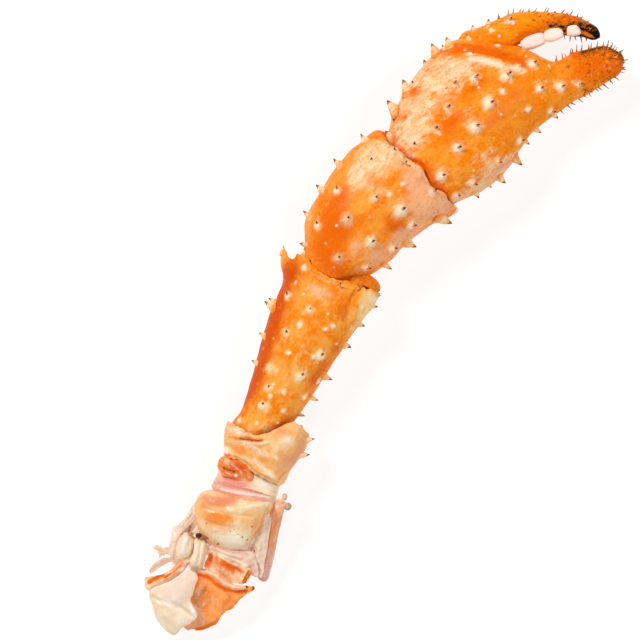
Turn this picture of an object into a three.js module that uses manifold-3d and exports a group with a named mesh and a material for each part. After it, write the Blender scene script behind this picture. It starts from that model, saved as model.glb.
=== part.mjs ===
// A cooked king crab claw leg, lying on a table with its outer face up.
//
// Frame: millimetres, +Z up, the table at z = 0, +X from the torn shoulder end towards the claw's
// tips, +Y towards the side that the claw's moving finger is on. The origin is on the table, under
// the middle of the leg's box.
//
// Every segment is a body of closed rings strung along a straight axis in plan. Its stations give,
// square to that axis, the left and right edges in plan and the top and bottom lines in height.
// Warts and spines stand on the bodies in rows, and are one solid with their body.
import * as THREE from 'three';
import { LoftGeometry } from 'three/addons/geometries/LoftGeometry.js';
import { mergeVertices } from 'three/addons/utils/BufferGeometryUtils.js';
import Module from 'manifold-3d';

const GAP = 0.35; // room left between neighbours, so that no two solids touch
const ROUNDNESS = 2.3; // exponent of a ring: 2 is an ellipse, more is squarer
const CAP_INSET = 0.02; // where the first ring stands, as a share of the end's rounding
const SPINE_SIDES = 5;
const SPINE_ROOT = 1.2; // how deep a spine's foot reaches into its body
const FOOTPRINT_MIDDLE = [-2.7, -0.45]; // middle of the leg's box in plan, before it is centred

// Stations: [along, left, right, top, bottom]. `start` and `turn` place the axis in plan, `caps` are
// the lengths over which the two ends round off, `rings` is the number of rings and `sides` of
// points on a ring. `cup` bends a plate up at its edges, in mm.
const BODIES = {
  palm: {
    start: [62.6, 12.2], turn: -25.2, caps: [12, 7], rings: 20, sides: 16, colour: 'shell',
    stations: [
      [-7, 19.5, -15, 29, 5], [4.5, 26.4, -20.5, 33, 0], [13, 32.8, -21.7, 35, -1.2],
      [28, 39.8, -22, 36.5, -1.4], [42, 43.8, -17.8, 35, -0.8], [51, 41.2, -12.4, 32.5, 0.6],
      [57, 36.6, -9.6, 30.5, 2.4], [65, 30.8, -8.2, 28.5, 4.4], [74, 21.8, -7.2, 27, 6],
      [79, 13.9, -6.6, 26, 7], [90, 13.1, -6.2, 24.5, 8.4], [99, 10.8, -6, 22.6, 9.8],
      [105, 8.2, -4.6, 21, 11], [108.8, 4.4, -1.6, 19, 13],
    ],
  },
  finger: {
    start: [121.7, 26.2], turn: -48.4, caps: [5, 5], rings: 12, sides: 10, colour: 'shell',
    stations: [
      [-3, 7, -3, 20, 10], [7.6, 9, -4, 21.5, 9], [15, 11.4, -3, 23, 9], [22, 13.8, -1, 23.8, 9],
      [30, 14, 2.2, 23.6, 9.4], [38, 13, 3.8, 22.8, 10], [45, 11.8, 2, 22, 10.6],
      [53, 8.9, 0.4, 21, 11.6], [58, 5.9, -1.5, 19.6, 12.4], [61.3, 2.6, -1.9, 18, 13.6],
    ],
  },
  wrist: {
    start: [4.8, 12.5], turn: -0.3, caps: [12, 3], rings: 12, sides: 16, colour: 'shell',
    stations: [
      [-4, 16, -5.4, 28.4, 4.4], [5, 20.6, -9.4, 31, 2.4], [11, 24.6, -13, 33, 0.6],
      [22, 27.4, -16.2, 35, -1], [33, 28.2, -17.8, 36, -1.2], [42, 28.6, -20.4, 36.6, -0.8],
      [50, 28.2, -23.4, 36.8, 0], [57, 26, -22.4, 36.4, 1], [62, 24, -19, 36, 2.6],
    ],
  },
  upper_arm: {
    start: [-74.1, -2.8], turn: 10.9, caps: [12, 2], rings: 13, sides: 14, colour: 'shell',
    stations: [
      [-4, 13.2, -3.4, 22.4, 3.6], [2, 13.2, -6, 23.8, 2.2], [7, 12, -8.8, 24.8, 1.2],
      [13, 12.4, -11.4, 26, 0.2], [24, 14.2, -13.6, 27.6, -0.8], [38, 17, -15.4, 29, -1.2],
      [49, 18.6, -17, 29.8, -1.2], [60, 19.4, -18.6, 30.6, -1], [69, 20.4, -20, 31, -0.4],
      [74, 23.8, -21.6, 31.2, 0.4], [81.5, 27, -21.8, 30.8, 2.4],
    ],
  },
  arm_base: {
    start: [-90.7, -10.6], turn: 15.9, caps: [3.5, 3], rings: 7, sides: 14, colour: 'pale_shell',
    stations: [
      [1, 15.6, -12.6, 25.4, 3], [6, 15.9, -14.8, 27.4, 1.4], [12, 16.8, -17, 28, 0.6],
      [18, 16.6, -19, 28, 0.6], [23, 15, -19.4, 27.6, 1.2], [29, 12, -18, 26.4, 3],
    ],
  },
  hip: {
    start: [-121.2, -25.3], turn: 25.5, caps: [6, 5], rings: 8, sides: 14, colour: 'pale_shell',
    stations: [
      [-2, 13, -3.6, 17, 3], [4, 17.4, -6, 21.4, 0], [10, 20.4, -8.4, 24.4, -1],
      [17, 21.8, -11, 26, -1.2], [22, 20.6, -13, 26, -0.6], [27, 17, -13.8, 24.6, 1.4],
    ],
  },
  hip_skin: {
    start: [-98.5, -14.5], turn: 21, caps: [3, 5], rings: 6, sides: 12, colour: 'skin',
    stations: [
      [-2, 17, -13.4, 23.8, 3], [1.5, 16.4, -13.4, 23.6, 3], [6, 15.4, -13, 23.4, 3],
      [11, 14.6, -12.2, 23.6, 3.4], [17, 13, -10.6, 22.4, 5],
    ],
  },
  hip_knob: {
    start: [-93.4, 3], turn: -62, caps: [4, 6], rings: 7, sides: 9, colour: 'knob',
    stations: [
      [-2, 3.6, -5, 22.6, 13], [5, 4, -6.8, 25.2, 14], [11, 3.4, -7, 25.4, 15],
      [17, 1.6, -5.4, 23.6, 16],
    ],
  },
  wrist_knob: {
    start: [61.5, 33.6], turn: -14, caps: [4, 4], rings: 6, sides: 9, colour: 'knob',
    stations: [[-5, 4.4, -5.4, 23, 8], [2, 5, -6, 25.6, 5], [9, 4, -5, 24, 7]],
  },
  elbow_knob: {
    start: [7.4, 3.8], turn: -70, caps: [4, 5], rings: 7, sides: 9, colour: 'knob',
    stations: [
      [-5, 5, -5, 25, 12], [3, 5.4, -5, 24, 11], [8, 4.8, -4.4, 21.6, 11], [12.4, 3.6, -3, 18.6, 12],
    ],
  },
  side_plate: {
    start: [-90.2, -29.6], turn: 201.5, caps: [4, 3], rings: 9, sides: 10, cup: 0.8, colour: 'pink_shell',
    stations: [
      [-1.5, 1.6, -3.2, 19.4, 16], [6, 1.6, -4.6, 17.8, 15], [14, 1.8, -4.8, 15.6, 13],
      [24, 2.8, -3.8, 12.2, 9.6], [31, 3.4, -4.6, 9.2, 6.8], [38, 3, -3, 6.6, 4.2],
    ],
  },
  side_web: {
    start: [-101, -29.6], turn: 201, caps: [4, 2.5], rings: 11, sides: 8, cup: -0.4, colour: 'skin',
    stations: [
      [-6, 0, -6, 17.8, 15.8], [4, 1.2, -7.6, 17.2, 15.2], [11, 2, -9.8, 16.2, 14.2],
      [16.5, 2.6, -17, 15.8, 13.8], [19.5, 2.6, -25, 15.8, 13.8], [22.5, 2.4, -23, 15.4, 13.4],
      [25.6, 2.4, -14, 14.8, 12.8],
    ],
  },
  inner_flap: {
    start: [-131.6, -16.6], turn: -83, caps: [3, 3], rings: 8, sides: 10, cup: 0.8, colour: 'torn_shell',
    stations: [
      [-0.5, 3.4, -3.4, 16.4, 13.8], [5, 4.2, -5.6, 15, 12.4], [11, 3.8, -6.6, 14.2, 11.6],
      [16, 4.8, -4.6, 14.8, 12.2], [21.5, 4.4, -2, 16, 13.4],
    ],
  },
  torn_plate: {
    start: [-133.6, -30], turn: 180, caps: [2, 4], rings: 10, sides: 12, cup: -2.4, colour: 'torn_shell',
    stations: [
      [-4.4, 13, 8, 13.8, 11.2], [-1, 12, 3, 14.2, 11.4], [2.5, 10.8, -10.6, 14.6, 11.8],
      [7.7, 10.2, -15.2, 14, 11], [13, 8.6, -14.6, 12.8, 9.8], [18.3, 8.2, -11.2, 11.2, 8.2],
      [23.5, 6.6, -6.4, 9.2, 6.4], [30, 1.6, -4, 6.8, 4.2],
    ],
  },
  meat_flap: {
    start: [-138.6, -14.4], turn: 198, caps: [4, 5], rings: 9, sides: 12, cup: -1.6, colour: 'meat',
    stations: [
      [0, 3, -1.8, 20.2, 16.4], [5, 3.6, -4.6, 20.8, 16.4], [12, 3.8, -10.8, 20.2, 15.8],
      [17, 6.2, -15.2, 19.2, 14.8], [22, 8.4, -12.8, 17.8, 13.4], [27, 5.2, -9.8, 15.8, 11.4],
      [32.6, 2.8, -4, 12.8, 9],
    ],
  },
  meat_lump: {
    start: [-127.6, -0.6], turn: 216, caps: [4, 4], rings: 8, sides: 11, colour: 'meat',
    stations: [
      [0.4, 3.4, -0.8, 19.6, 6], [4, 5.4, -2, 20.8, 4.4], [9, 5.2, -3.6, 20.4, 4],
      [12.5, 3.8, -3.6, 19.2, 4.4], [15.4, 2, -2.8, 17.4, 6],
    ],
  },
  meat_strand: {
    start: [-123.6, -8.8], turn: 207, caps: [4, 4], rings: 7, sides: 10, colour: 'meat',
    stations: [
      [0.6, 2, -3.8, 19.6, 7], [5, 3, -4.2, 20.8, 6.4], [11, 3.4, -4.2, 20.4, 6],
      [15, 2.8, -4.2, 19, 5.4], [19, 1.4, -3.4, 17, 6],
    ],
  },
  rim_strip: {
    start: [-141, -9.6], turn: 161.5, caps: [3, 3], rings: 7, sides: 8, cup: 0.4, colour: 'torn_shell',
    stations: [
      [-6, 0.8, -2.8, 16.2, 13.6], [-1, 2.4, -2.2, 15.6, 12.8], [6, 3.2, -1.2, 14.4, 11.8],
      [13, 2.2, -2.4, 13, 10.4], [19.6, 1.6, -3, 11.8, 9.2],
    ],
  },
  tatter_wide: {
    start: [-113.6, 1.6], turn: 180, caps: [3, 3], rings: 8, sides: 8, cup: -0.8, colour: 'skin',
    stations: [
      [-2.6, 3.6, 0.2, 17, 14.8], [3.5, 6, -0.8, 15.6, 13.4], [8.5, 9.2, -0.6, 14.2, 12.2],
      [13.4, 8.8, -1, 13, 11], [18.4, 7.8, -1.2, 12.2, 10.2], [23.3, 8.8, 1.2, 11.8, 9.8],
      [29.4, 9.4, 5.4, 11.6, 9.6],
    ],
  },
  tatter_thin: {
    start: [-141.4, 2.4], turn: 196, caps: [2, 2], rings: 8, sides: 6, cup: 0.4, colour: 'skin',
    stations: [
      [-2.4, 3.8, 0.4, 10, 8], [0.3, 5.2, -2.4, 9.6, 7.6], [2.4, 8.4, -1.2, 9.2, 7.2],
      [4.9, 5.4, 0.6, 8.6, 6.6], [8, 2.8, -0.8, 8, 6], [11.8, 1.2, -1.2, 7.6, 5.8],
    ],
  },
};

// Rows of warts and spines. `from` and `to` are [along, across]: across runs from -1 at a body's
// right edge to 1 at its left edge, seen from above. `bow` bends the row sideways in the middle,
// `wide` and `tall` are sizes in mm at the row's two ends, `under` puts the row on the lower face.
const ROWS = {
  palm: [
    { count: 5, from: [11, -0.47], to: [53, -0.11], bow: 0.1, wide: [5.6, 4.4], tall: [2.6, 2.2] },
    { count: 6, from: [12, -0.86], to: [68, -0.82], bow: 0.06, wide: [4.6, 4], tall: [2.6, 2] },
    { count: 3, from: [59, -0.6], to: [77, -0.2], bow: 0.1, wide: [4, 4.6], tall: [2, 2.4] },
    { count: 5, from: [6, 0.2], to: [45, 0.34], bow: 0.04, wide: [4.4, 4.2], tall: [2.4, 2.6] },
    { count: 3, from: [57, 0.12], to: [71, 0.42], bow: 0, wide: [4.6, 4], tall: [2.6, 1.8] },
    { count: 2, from: [48, 0.6], to: [61, 0.76], bow: 0, wide: [3, 3.6], tall: [1.8, 2] },
    { count: 6, from: [-1.5, 0.98], to: [62, 1], bow: 0, wide: [5, 4], tall: [5, 3.4] },
    { count: 4, from: [8, 0.82], to: [43, 0.86], bow: 0, wide: [4, 3.6], tall: [4, 2.6] },
    { count: 5, from: [10, -1], to: [61, -1], bow: 0, wide: [5, 3.4], tall: [3, 3] },
    { count: 3, from: [9, 0.7], to: [50, 0.6], bow: 0, wide: [4.6, 4], tall: [1.8, 1.6], under: true },
    { count: 3, from: [18, -0.8], to: [62, -0.5], bow: 0, wide: [4.4, 3.6], tall: [1.6, 1.6], under: true },
  ],
  finger: [{ count: 3, from: [6, 0.6], to: [24, 0.3], bow: 0.2, wide: [2.6, 2.2], tall: [1.6, 1.2] }],
  wrist: [
    { count: 4, from: [7, 0.02], to: [58, 0.06], bow: 0.14, wide: [4.4, 4], tall: [2.8, 2.6] },
    { count: 3, from: [21, -0.44], to: [56, -0.7], bow: -0.06, wide: [4.6, 4.6], tall: [2.6, 2.2] },
    { count: 3, from: [11, -0.8], to: [39, -0.8], bow: -0.06, wide: [4.4, 4.6], tall: [2.4, 2.2] },
    { count: 4, from: [13, 0.7], to: [53, 0.62], bow: 0.06, wide: [4.4, 4], tall: [2.4, 2.4] },
    { count: 4, from: [4, 1], to: [56, 1], bow: 0, wide: [4.4, 4.2], tall: [3.4, 3.8] },
    { count: 3, from: [14, -1], to: [49, -1], bow: 0, wide: [4, 5], tall: [2.8, 4.2] },
    { count: 3, from: [14, 0.7], to: [52, 0.66], bow: 0, wide: [4.4, 4], tall: [1.6, 1.6], under: true },
    { count: 2, from: [20, -0.75], to: [50, -0.75], bow: 0, wide: [4, 4], tall: [1.6, 1.6], under: true },
  ],
  upper_arm: [
    { count: 5, from: [14, 0.22], to: [62, 0.1], bow: 0.1, wide: [4.8, 3.4], tall: [2, 1.8] },
    { count: 5, from: [16, -0.42], to: [58, -0.42], bow: 0.16, wide: [3.4, 4.4], tall: [1.8, 2.2] },
    { count: 3, from: [25, -0.84], to: [46, -0.8], bow: 0, wide: [3, 3.4], tall: [1.8, 2] },
    { count: 4, from: [30, 1], to: [76, 1], bow: 0, wide: [3.6, 5.4], tall: [2.8, 4.4] },
    { count: 5, from: [26, -1], to: [77, -1], bow: 0, wide: [3.4, 5], tall: [3, 4.4] },
    { count: 2, from: [63, 0.72], to: [77, -0.05], bow: 0.2, wide: [4, 3.6], tall: [2.6, 1.8] },
    { count: 3, from: [18, 0.7], to: [66, 0.7], bow: 0, wide: [4, 4], tall: [1.4, 1.6], under: true },
    { count: 2, from: [30, -0.75], to: [62, -0.75], bow: 0, wide: [3.6, 4], tall: [1.4, 1.6], under: true },
  ],
  arm_base: [{ count: 1, from: [16, -1], to: [16, -1], bow: 0, wide: [3.4, 3.4], tall: [3.2, 3.2] }],
};

// Grinding teeth on the finger's inner edge: [along, across in mm, length, width].
const TEETH = [[30.8, 0.7, 11.4, 6.4], [40.3, 3.3, 9.4, 6.6], [49.2, 3.7, 7, 5.6]];
const TOOTH_HEIGHT = 18.2; // height of the teeth's middle above the table
const TOOTH_THICKNESS = 6.4;

// A piece on the left is cut back from the pieces on its right, which it laps over or leans on.
const CUTS = [
  ['finger', ['palm']],
  ['wrist', ['palm']],
  ['wrist_knob', ['palm', 'wrist']],
  ['upper_arm', ['wrist']],
  ['elbow_knob', ['wrist', 'upper_arm']],
  ['arm_base', ['upper_arm']],
  ['hip_knob', ['arm_base']],
  ['hip_skin', ['arm_base', 'hip_knob']],
  ['hip', ['arm_base', 'hip_skin', 'hip_knob']],
  ['side_plate', ['arm_base', 'hip', 'hip_skin']],
  ['side_web', ['hip', 'side_plate']],
  ['inner_flap', ['hip', 'side_web', 'side_plate']],
  ['meat_strand', ['hip', 'inner_flap', 'side_web']],
  ['meat_lump', ['hip', 'meat_strand', 'side_web']],
  ['torn_plate', ['hip', 'inner_flap', 'meat_strand', 'meat_lump', 'side_plate', 'side_web']],
  ['meat_flap', ['hip', 'inner_flap', 'meat_strand', 'meat_lump', 'torn_plate']],
  ['rim_strip', ['meat_flap', 'meat_lump', 'meat_strand', 'torn_plate']],
  ['tatter_wide', ['hip', 'meat_lump', 'hip_knob', 'meat_strand']],
  ['tatter_thin', ['tatter_wide', 'meat_lump', 'rim_strip']],
];

const COLOURS = {
  shell: { color: 0xe8711a, roughness: 0.38 },
  pale_shell: { color: 0xf0c58c, roughness: 0.42 },
  knob: { color: 0xe2602a, roughness: 0.4 },
  skin: { color: 0xecc4ae, roughness: 0.35 },
  pink_shell: { color: 0xe6a084, roughness: 0.42 },
  torn_shell: { color: 0xea7a34, roughness: 0.45 },
  meat: { color: 0xeee2cc, roughness: 0.5 },
};

const { cos, sin, abs, sign, sqrt, min, max, PI, acos, pow, trunc } = Math;

// Column `column` of a body's stations at `along`: a cubic through them, with slopes taken from the
// two neighbours of each station.
function lineAt(stations, column, along) {
  const last = stations.length - 1;
  const x = min(max(along, stations[0][0]), stations[last][0]);
  let i = 0;
  while (i < last - 1 && x > stations[i + 1][0]) i += 1;
  const slope = (k) => {
    const before = stations[max(k - 1, 0)];
    const after = stations[min(k + 1, last)];
    return (after[column] - before[column]) / (after[0] - before[0]);
  };
  const length = stations[i + 1][0] - stations[i][0];
  const t = (x - stations[i][0]) / length;
  return (2 * t ** 3 - 3 * t ** 2 + 1) * stations[i][column]
    + (t ** 3 - 2 * t ** 2 + t) * length * slope(i)
    + (3 * t ** 2 - 2 * t ** 3) * stations[i + 1][column]
    + (t ** 3 - t ** 2) * length * slope(i + 1);
}

// How far a ring `from` mm inside an end has opened, from 0 at the end to 1 past the rounding.
const opening = (from, rounding) => sqrt(max(0, 1 - (1 - min(1, from / rounding)) ** 2));

// A point of a body's skin, `along` the axis and `angle` round it: 0 is left, a quarter turn is up.
function skinPoint(body, along, angle, grow = 0) {
  const { stations, start, turn, caps, cup = 0 } = body;
  const first = stations[0][0] - grow;
  const end = stations[stations.length - 1][0] + grow;
  const [left, right, top, bottom] = [1, 2, 3, 4].map((column) => lineAt(stations, column, along));
  const open = opening(along - first, caps[0] + grow) * opening(end - along, caps[1] + grow);
  const bent = (value) => sign(value) * pow(abs(value), 2 / ROUNDNESS);
  const across = bent(cos(angle)) * open;
  const halfWidth = (left - right) / 2 + grow;
  const halfHeight = (top - bottom) / 2 + grow;
  const y = (left + right) / 2 + halfWidth * across;
  const z = (top + bottom) / 2 + halfHeight * open * bent(sin(angle)) + cup * across * across;
  const a = THREE.MathUtils.degToRad(turn);
  return new THREE.Vector3(
    start[0] + along * cos(a) - y * sin(a),
    start[1] + along * sin(a) + y * cos(a),
    max(z, 0),
  );
}

// A body's rings, closer together at its ends, lofted and closed with small flat caps. Only the two
// end rings of a body grown fatter move along the axis, so that the plain body lies inside it.
function bodyGeometry(body, grow) {
  const first = body.stations[0][0] + CAP_INSET * body.caps[0];
  const end = body.stations[body.stations.length - 1][0] - CAP_INSET * body.caps[1];
  const rings = [];
  for (let i = 0; i < body.rings; i += 1) {
    const t = i / (body.rings - 1);
    const share = (t + (1 - cos(PI * t)) / 2) / 2;
    const along = first + (end - first) * share + grow * trunc(2 * share - 1);
    const ring = [];
    for (let j = 0; j < body.sides; j += 1) {
      ring.push(skinPoint(body, along, (2 * PI * j) / body.sides, grow));
    }
    rings.push(ring);
  }
  return new LoftGeometry(rings, { capStart: true, capEnd: true });
}

// A wart or spine pointing along +Y, blunt where it is low and a thorn where it is tall.
function spineGeometry(wide, tall, grow) {
  const radius = wide / 2 + grow;
  const height = tall + grow;
  const shoulder = height < radius * 1.5 ? [[radius * 0.72, height * 0.5]] : [];
  const profile = [[0, -SPINE_ROOT], [radius, -SPINE_ROOT], ...shoulder, [0, height]];
  return new THREE.LatheGeometry(profile.map(([x, y]) => new THREE.Vector2(x, y)), SPINE_SIDES);
}

// Where a row's spine stands: its foot on the skin, and the direction square to the skin there.
function perch(body, row, t) {
  const along = row.from[0] + (row.to[0] - row.from[0]) * t;
  const straight = row.from[1] + (row.to[1] - row.from[1]) * t;
  const across = min(1, max(-1, straight + row.bow * sin(PI * t)));
  const angle = acos(sign(across) * pow(abs(across), ROUNDNESS / 2)) * (row.under ? -1 : 1);
  const foot = skinPoint(body, along, angle);
  const alongSkin = skinPoint(body, along + 0.5, angle).sub(skinPoint(body, along - 0.5, angle));
  const roundSkin = skinPoint(body, along, angle + 0.05).sub(skinPoint(body, along, angle - 0.05));
  return { foot, out: roundSkin.cross(alongSkin).normalize() };
}

const wasm = await Module();
wasm.setup();

// A closed geometry as a solid that can be joined and cut.
function solid(geometry) {
  const bare = new THREE.BufferGeometry();
  bare.setAttribute('position', geometry.getAttribute('position'));
  bare.setIndex(geometry.getIndex());
  const merged = mergeVertices(bare, 1e-3);
  return new wasm.Manifold(new wasm.Mesh({
    numProp: 3,
    vertProperties: merged.getAttribute('position').array,
    triVerts: new Uint32Array(merged.index.array),
  }));
}

// The slab of air that no wart under the leg may reach below.
const TABLE = solid(new THREE.BoxGeometry(600, 400, 40).translate(0, 0, -20));

function joinSpines(made, name, grow) {
  const up = new THREE.Vector3(0, 1, 0);
  for (const row of ROWS[name] ?? []) {
    for (let i = 0; i < row.count; i += 1) {
      const t = row.count > 1 ? i / (row.count - 1) : 0;
      const { foot, out } = perch(BODIES[name], row, t);
      const wide = row.wide[0] + (row.wide[1] - row.wide[0]) * t;
      const tall = row.tall[0] + (row.tall[1] - row.tall[0]) * t;
      const spine = spineGeometry(wide, tall, grow);
      spine.applyQuaternion(new THREE.Quaternion().setFromUnitVectors(up, out));
      spine.translate(foot.x, foot.y, foot.z);
      made = made.add(solid(spine));
    }
  }
  return made;
}

function joinTeeth(made, grow) {
  const { start, turn } = BODIES.finger;
  for (const [along, across, length, width] of TEETH) {
    const tooth = new THREE.SphereGeometry(1, 8, 5);
    tooth.scale(length / 2 + grow, width / 2 + grow, TOOTH_THICKNESS / 2 + grow);
    tooth.translate(along, across, TOOTH_HEIGHT);
    tooth.rotateZ(THREE.MathUtils.degToRad(turn));
    tooth.translate(start[0], start[1], 0);
    made = made.add(solid(tooth));
  }
  return made;
}

// A whole segment: its body, with what stands on it. `grow` makes it that much fatter all round.
function segment(name, grow = 0) {
  let made = joinSpines(solid(bodyGeometry(BODIES[name], grow)), name, grow);
  if (name === 'finger') made = joinTeeth(made, grow);
  return made.subtract(TABLE);
}

// The largest piece that is left of a solid.
function largest(made) {
  return made.decompose().sort((a, b) => b.volume() - a.volume())[0];
}

function meshOf(made, name) {
  const { numProp, numVert, vertProperties, triVerts } = made.getMesh();
  const position = new Float32Array(numVert * 3);
  for (let i = 0; i < numVert; i += 1) {
    position.set(vertProperties.subarray(i * numProp, i * numProp + 3), i * 3);
  }
  const geometry = new THREE.BufferGeometry();
  geometry.setAttribute('position', new THREE.BufferAttribute(position, 3));
  geometry.setIndex(new THREE.BufferAttribute(new Uint32Array(triVerts), 1));
  geometry.computeVertexNormals();
  const material = new THREE.MeshStandardMaterial({ ...COLOURS[BODIES[name].colour], metalness: 0 });
  const mesh = new THREE.Mesh(geometry, material);
  mesh.name = name;
  return mesh;
}

const leg = new THREE.Group();
leg.name = 'king_crab_leg';
const cuts = new Map(CUTS);
for (const name of Object.keys(BODIES)) {
  let made = segment(name);
  for (const neighbour of cuts.get(name) ?? []) made = made.subtract(segment(neighbour, GAP));
  leg.add(meshOf(largest(made), name));
}
leg.position.set(-FOOTPRINT_MIDDLE[0], -FOOTPRINT_MIDDLE[1], 0);

export default leg;
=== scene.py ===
import math

import bpy
import numpy as np
from mathutils import Matrix, Vector


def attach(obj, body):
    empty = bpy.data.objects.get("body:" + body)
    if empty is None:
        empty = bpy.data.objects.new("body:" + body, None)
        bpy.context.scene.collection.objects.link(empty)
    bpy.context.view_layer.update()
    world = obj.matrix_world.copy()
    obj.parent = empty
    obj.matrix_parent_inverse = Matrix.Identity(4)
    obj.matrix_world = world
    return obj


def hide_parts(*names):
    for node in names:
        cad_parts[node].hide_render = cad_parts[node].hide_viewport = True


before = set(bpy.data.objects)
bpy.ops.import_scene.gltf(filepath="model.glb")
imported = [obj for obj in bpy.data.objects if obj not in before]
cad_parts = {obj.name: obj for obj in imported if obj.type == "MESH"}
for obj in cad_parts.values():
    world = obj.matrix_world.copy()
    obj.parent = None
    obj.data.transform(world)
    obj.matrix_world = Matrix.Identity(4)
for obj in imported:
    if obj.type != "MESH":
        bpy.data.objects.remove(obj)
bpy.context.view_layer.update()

# A cooked king crab's claw arm. Shapes are worked out in millimetres in the leg's own frame, with +X
# towards the claw's tips, +Y towards the moving finger and +Z up from the table, and are put into
# their meshes in metres. Along and across are a segment's own directions in plan, in mm.

bl_info = {
    "name": "King crab claw leg",
    "version": (1, 0, 0),
    "blender": (4, 5, 0),
    "location": "3D View > Sidebar > Crab leg",
    "description": "Builds a cooked king crab claw arm: mottled shell, warts, thorns, bristles and meat",
    "category": "Add Mesh",
}

MM = 0.001
ROUNDNESS = 2.3  # exponent of a ring: 2 is an ellipse, more is squarer
FRAME_SHIFT = np.array([2.7, 0.45, 0.0])  # from the stations' frame to the middle of the leg's box
# The white mask of the warts, teeth and pale patches also holds painted highlights on ridges, rolls and
# edges; pale, deep and dark hold painted light and painted shade in places.
MASKS = ("pale", "deep", "rosy", "wart", "dark", "pits")  # what the shell's colours follow, from 0 to 1
UNDERSIDE = {"pale": 0.6, "deep": 0.1, "rosy": 0.25}  # the masks below
LIP_RADIUS = 0.55  # half the thickness of a shell's rim
LIP_RINGS, WALL_RINGS = 7, 5  # rings round a rim and down its inner wall
MOUTH_DEPTH = 8.0  # how far a rim's inner wall goes back before it is closed
HUG_REACH = 9.0  # how far behind a rim its bending to the neighbour fades out
RIM_ROOM = 0.45  # air between a rim's inner side and the neighbour
HALVINGS = 16  # steps to find where the neighbour's skin begins
TIPLESS = 1.65  # a wart of a smaller radius has no dark tip
DOME, PEAK = 0.4, 0.16  # height of a wart and of its peak, in its radii
UNEVEN = ((0.3, 17, 5), (0.12, 6, 6), (0.04, 2.4, 7))  # the shell's ripples: height and length in mm, seed
WAVES = 9  # sine waves in a ripple
PEBBLE_GRID, LEAF_GRID = (24, 32), (44, 280)  # rings, and points on a ring
NIBBLES = (9, 17, 26, 41, 60)  # waves round a torn edge


def colour(red, green, blue):
    """A display colour from 0 to 255 as linear light: a power of 2.4, and a straight line at the dark end."""
    shares = [value / 255 for value in (red, green, blue)]
    return tuple(s / 12.92 if s <= 0.04045 else ((s + 0.055) / 1.055) ** 2.4 for s in shares)


# ---------------------------------------------------------------- segments

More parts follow.
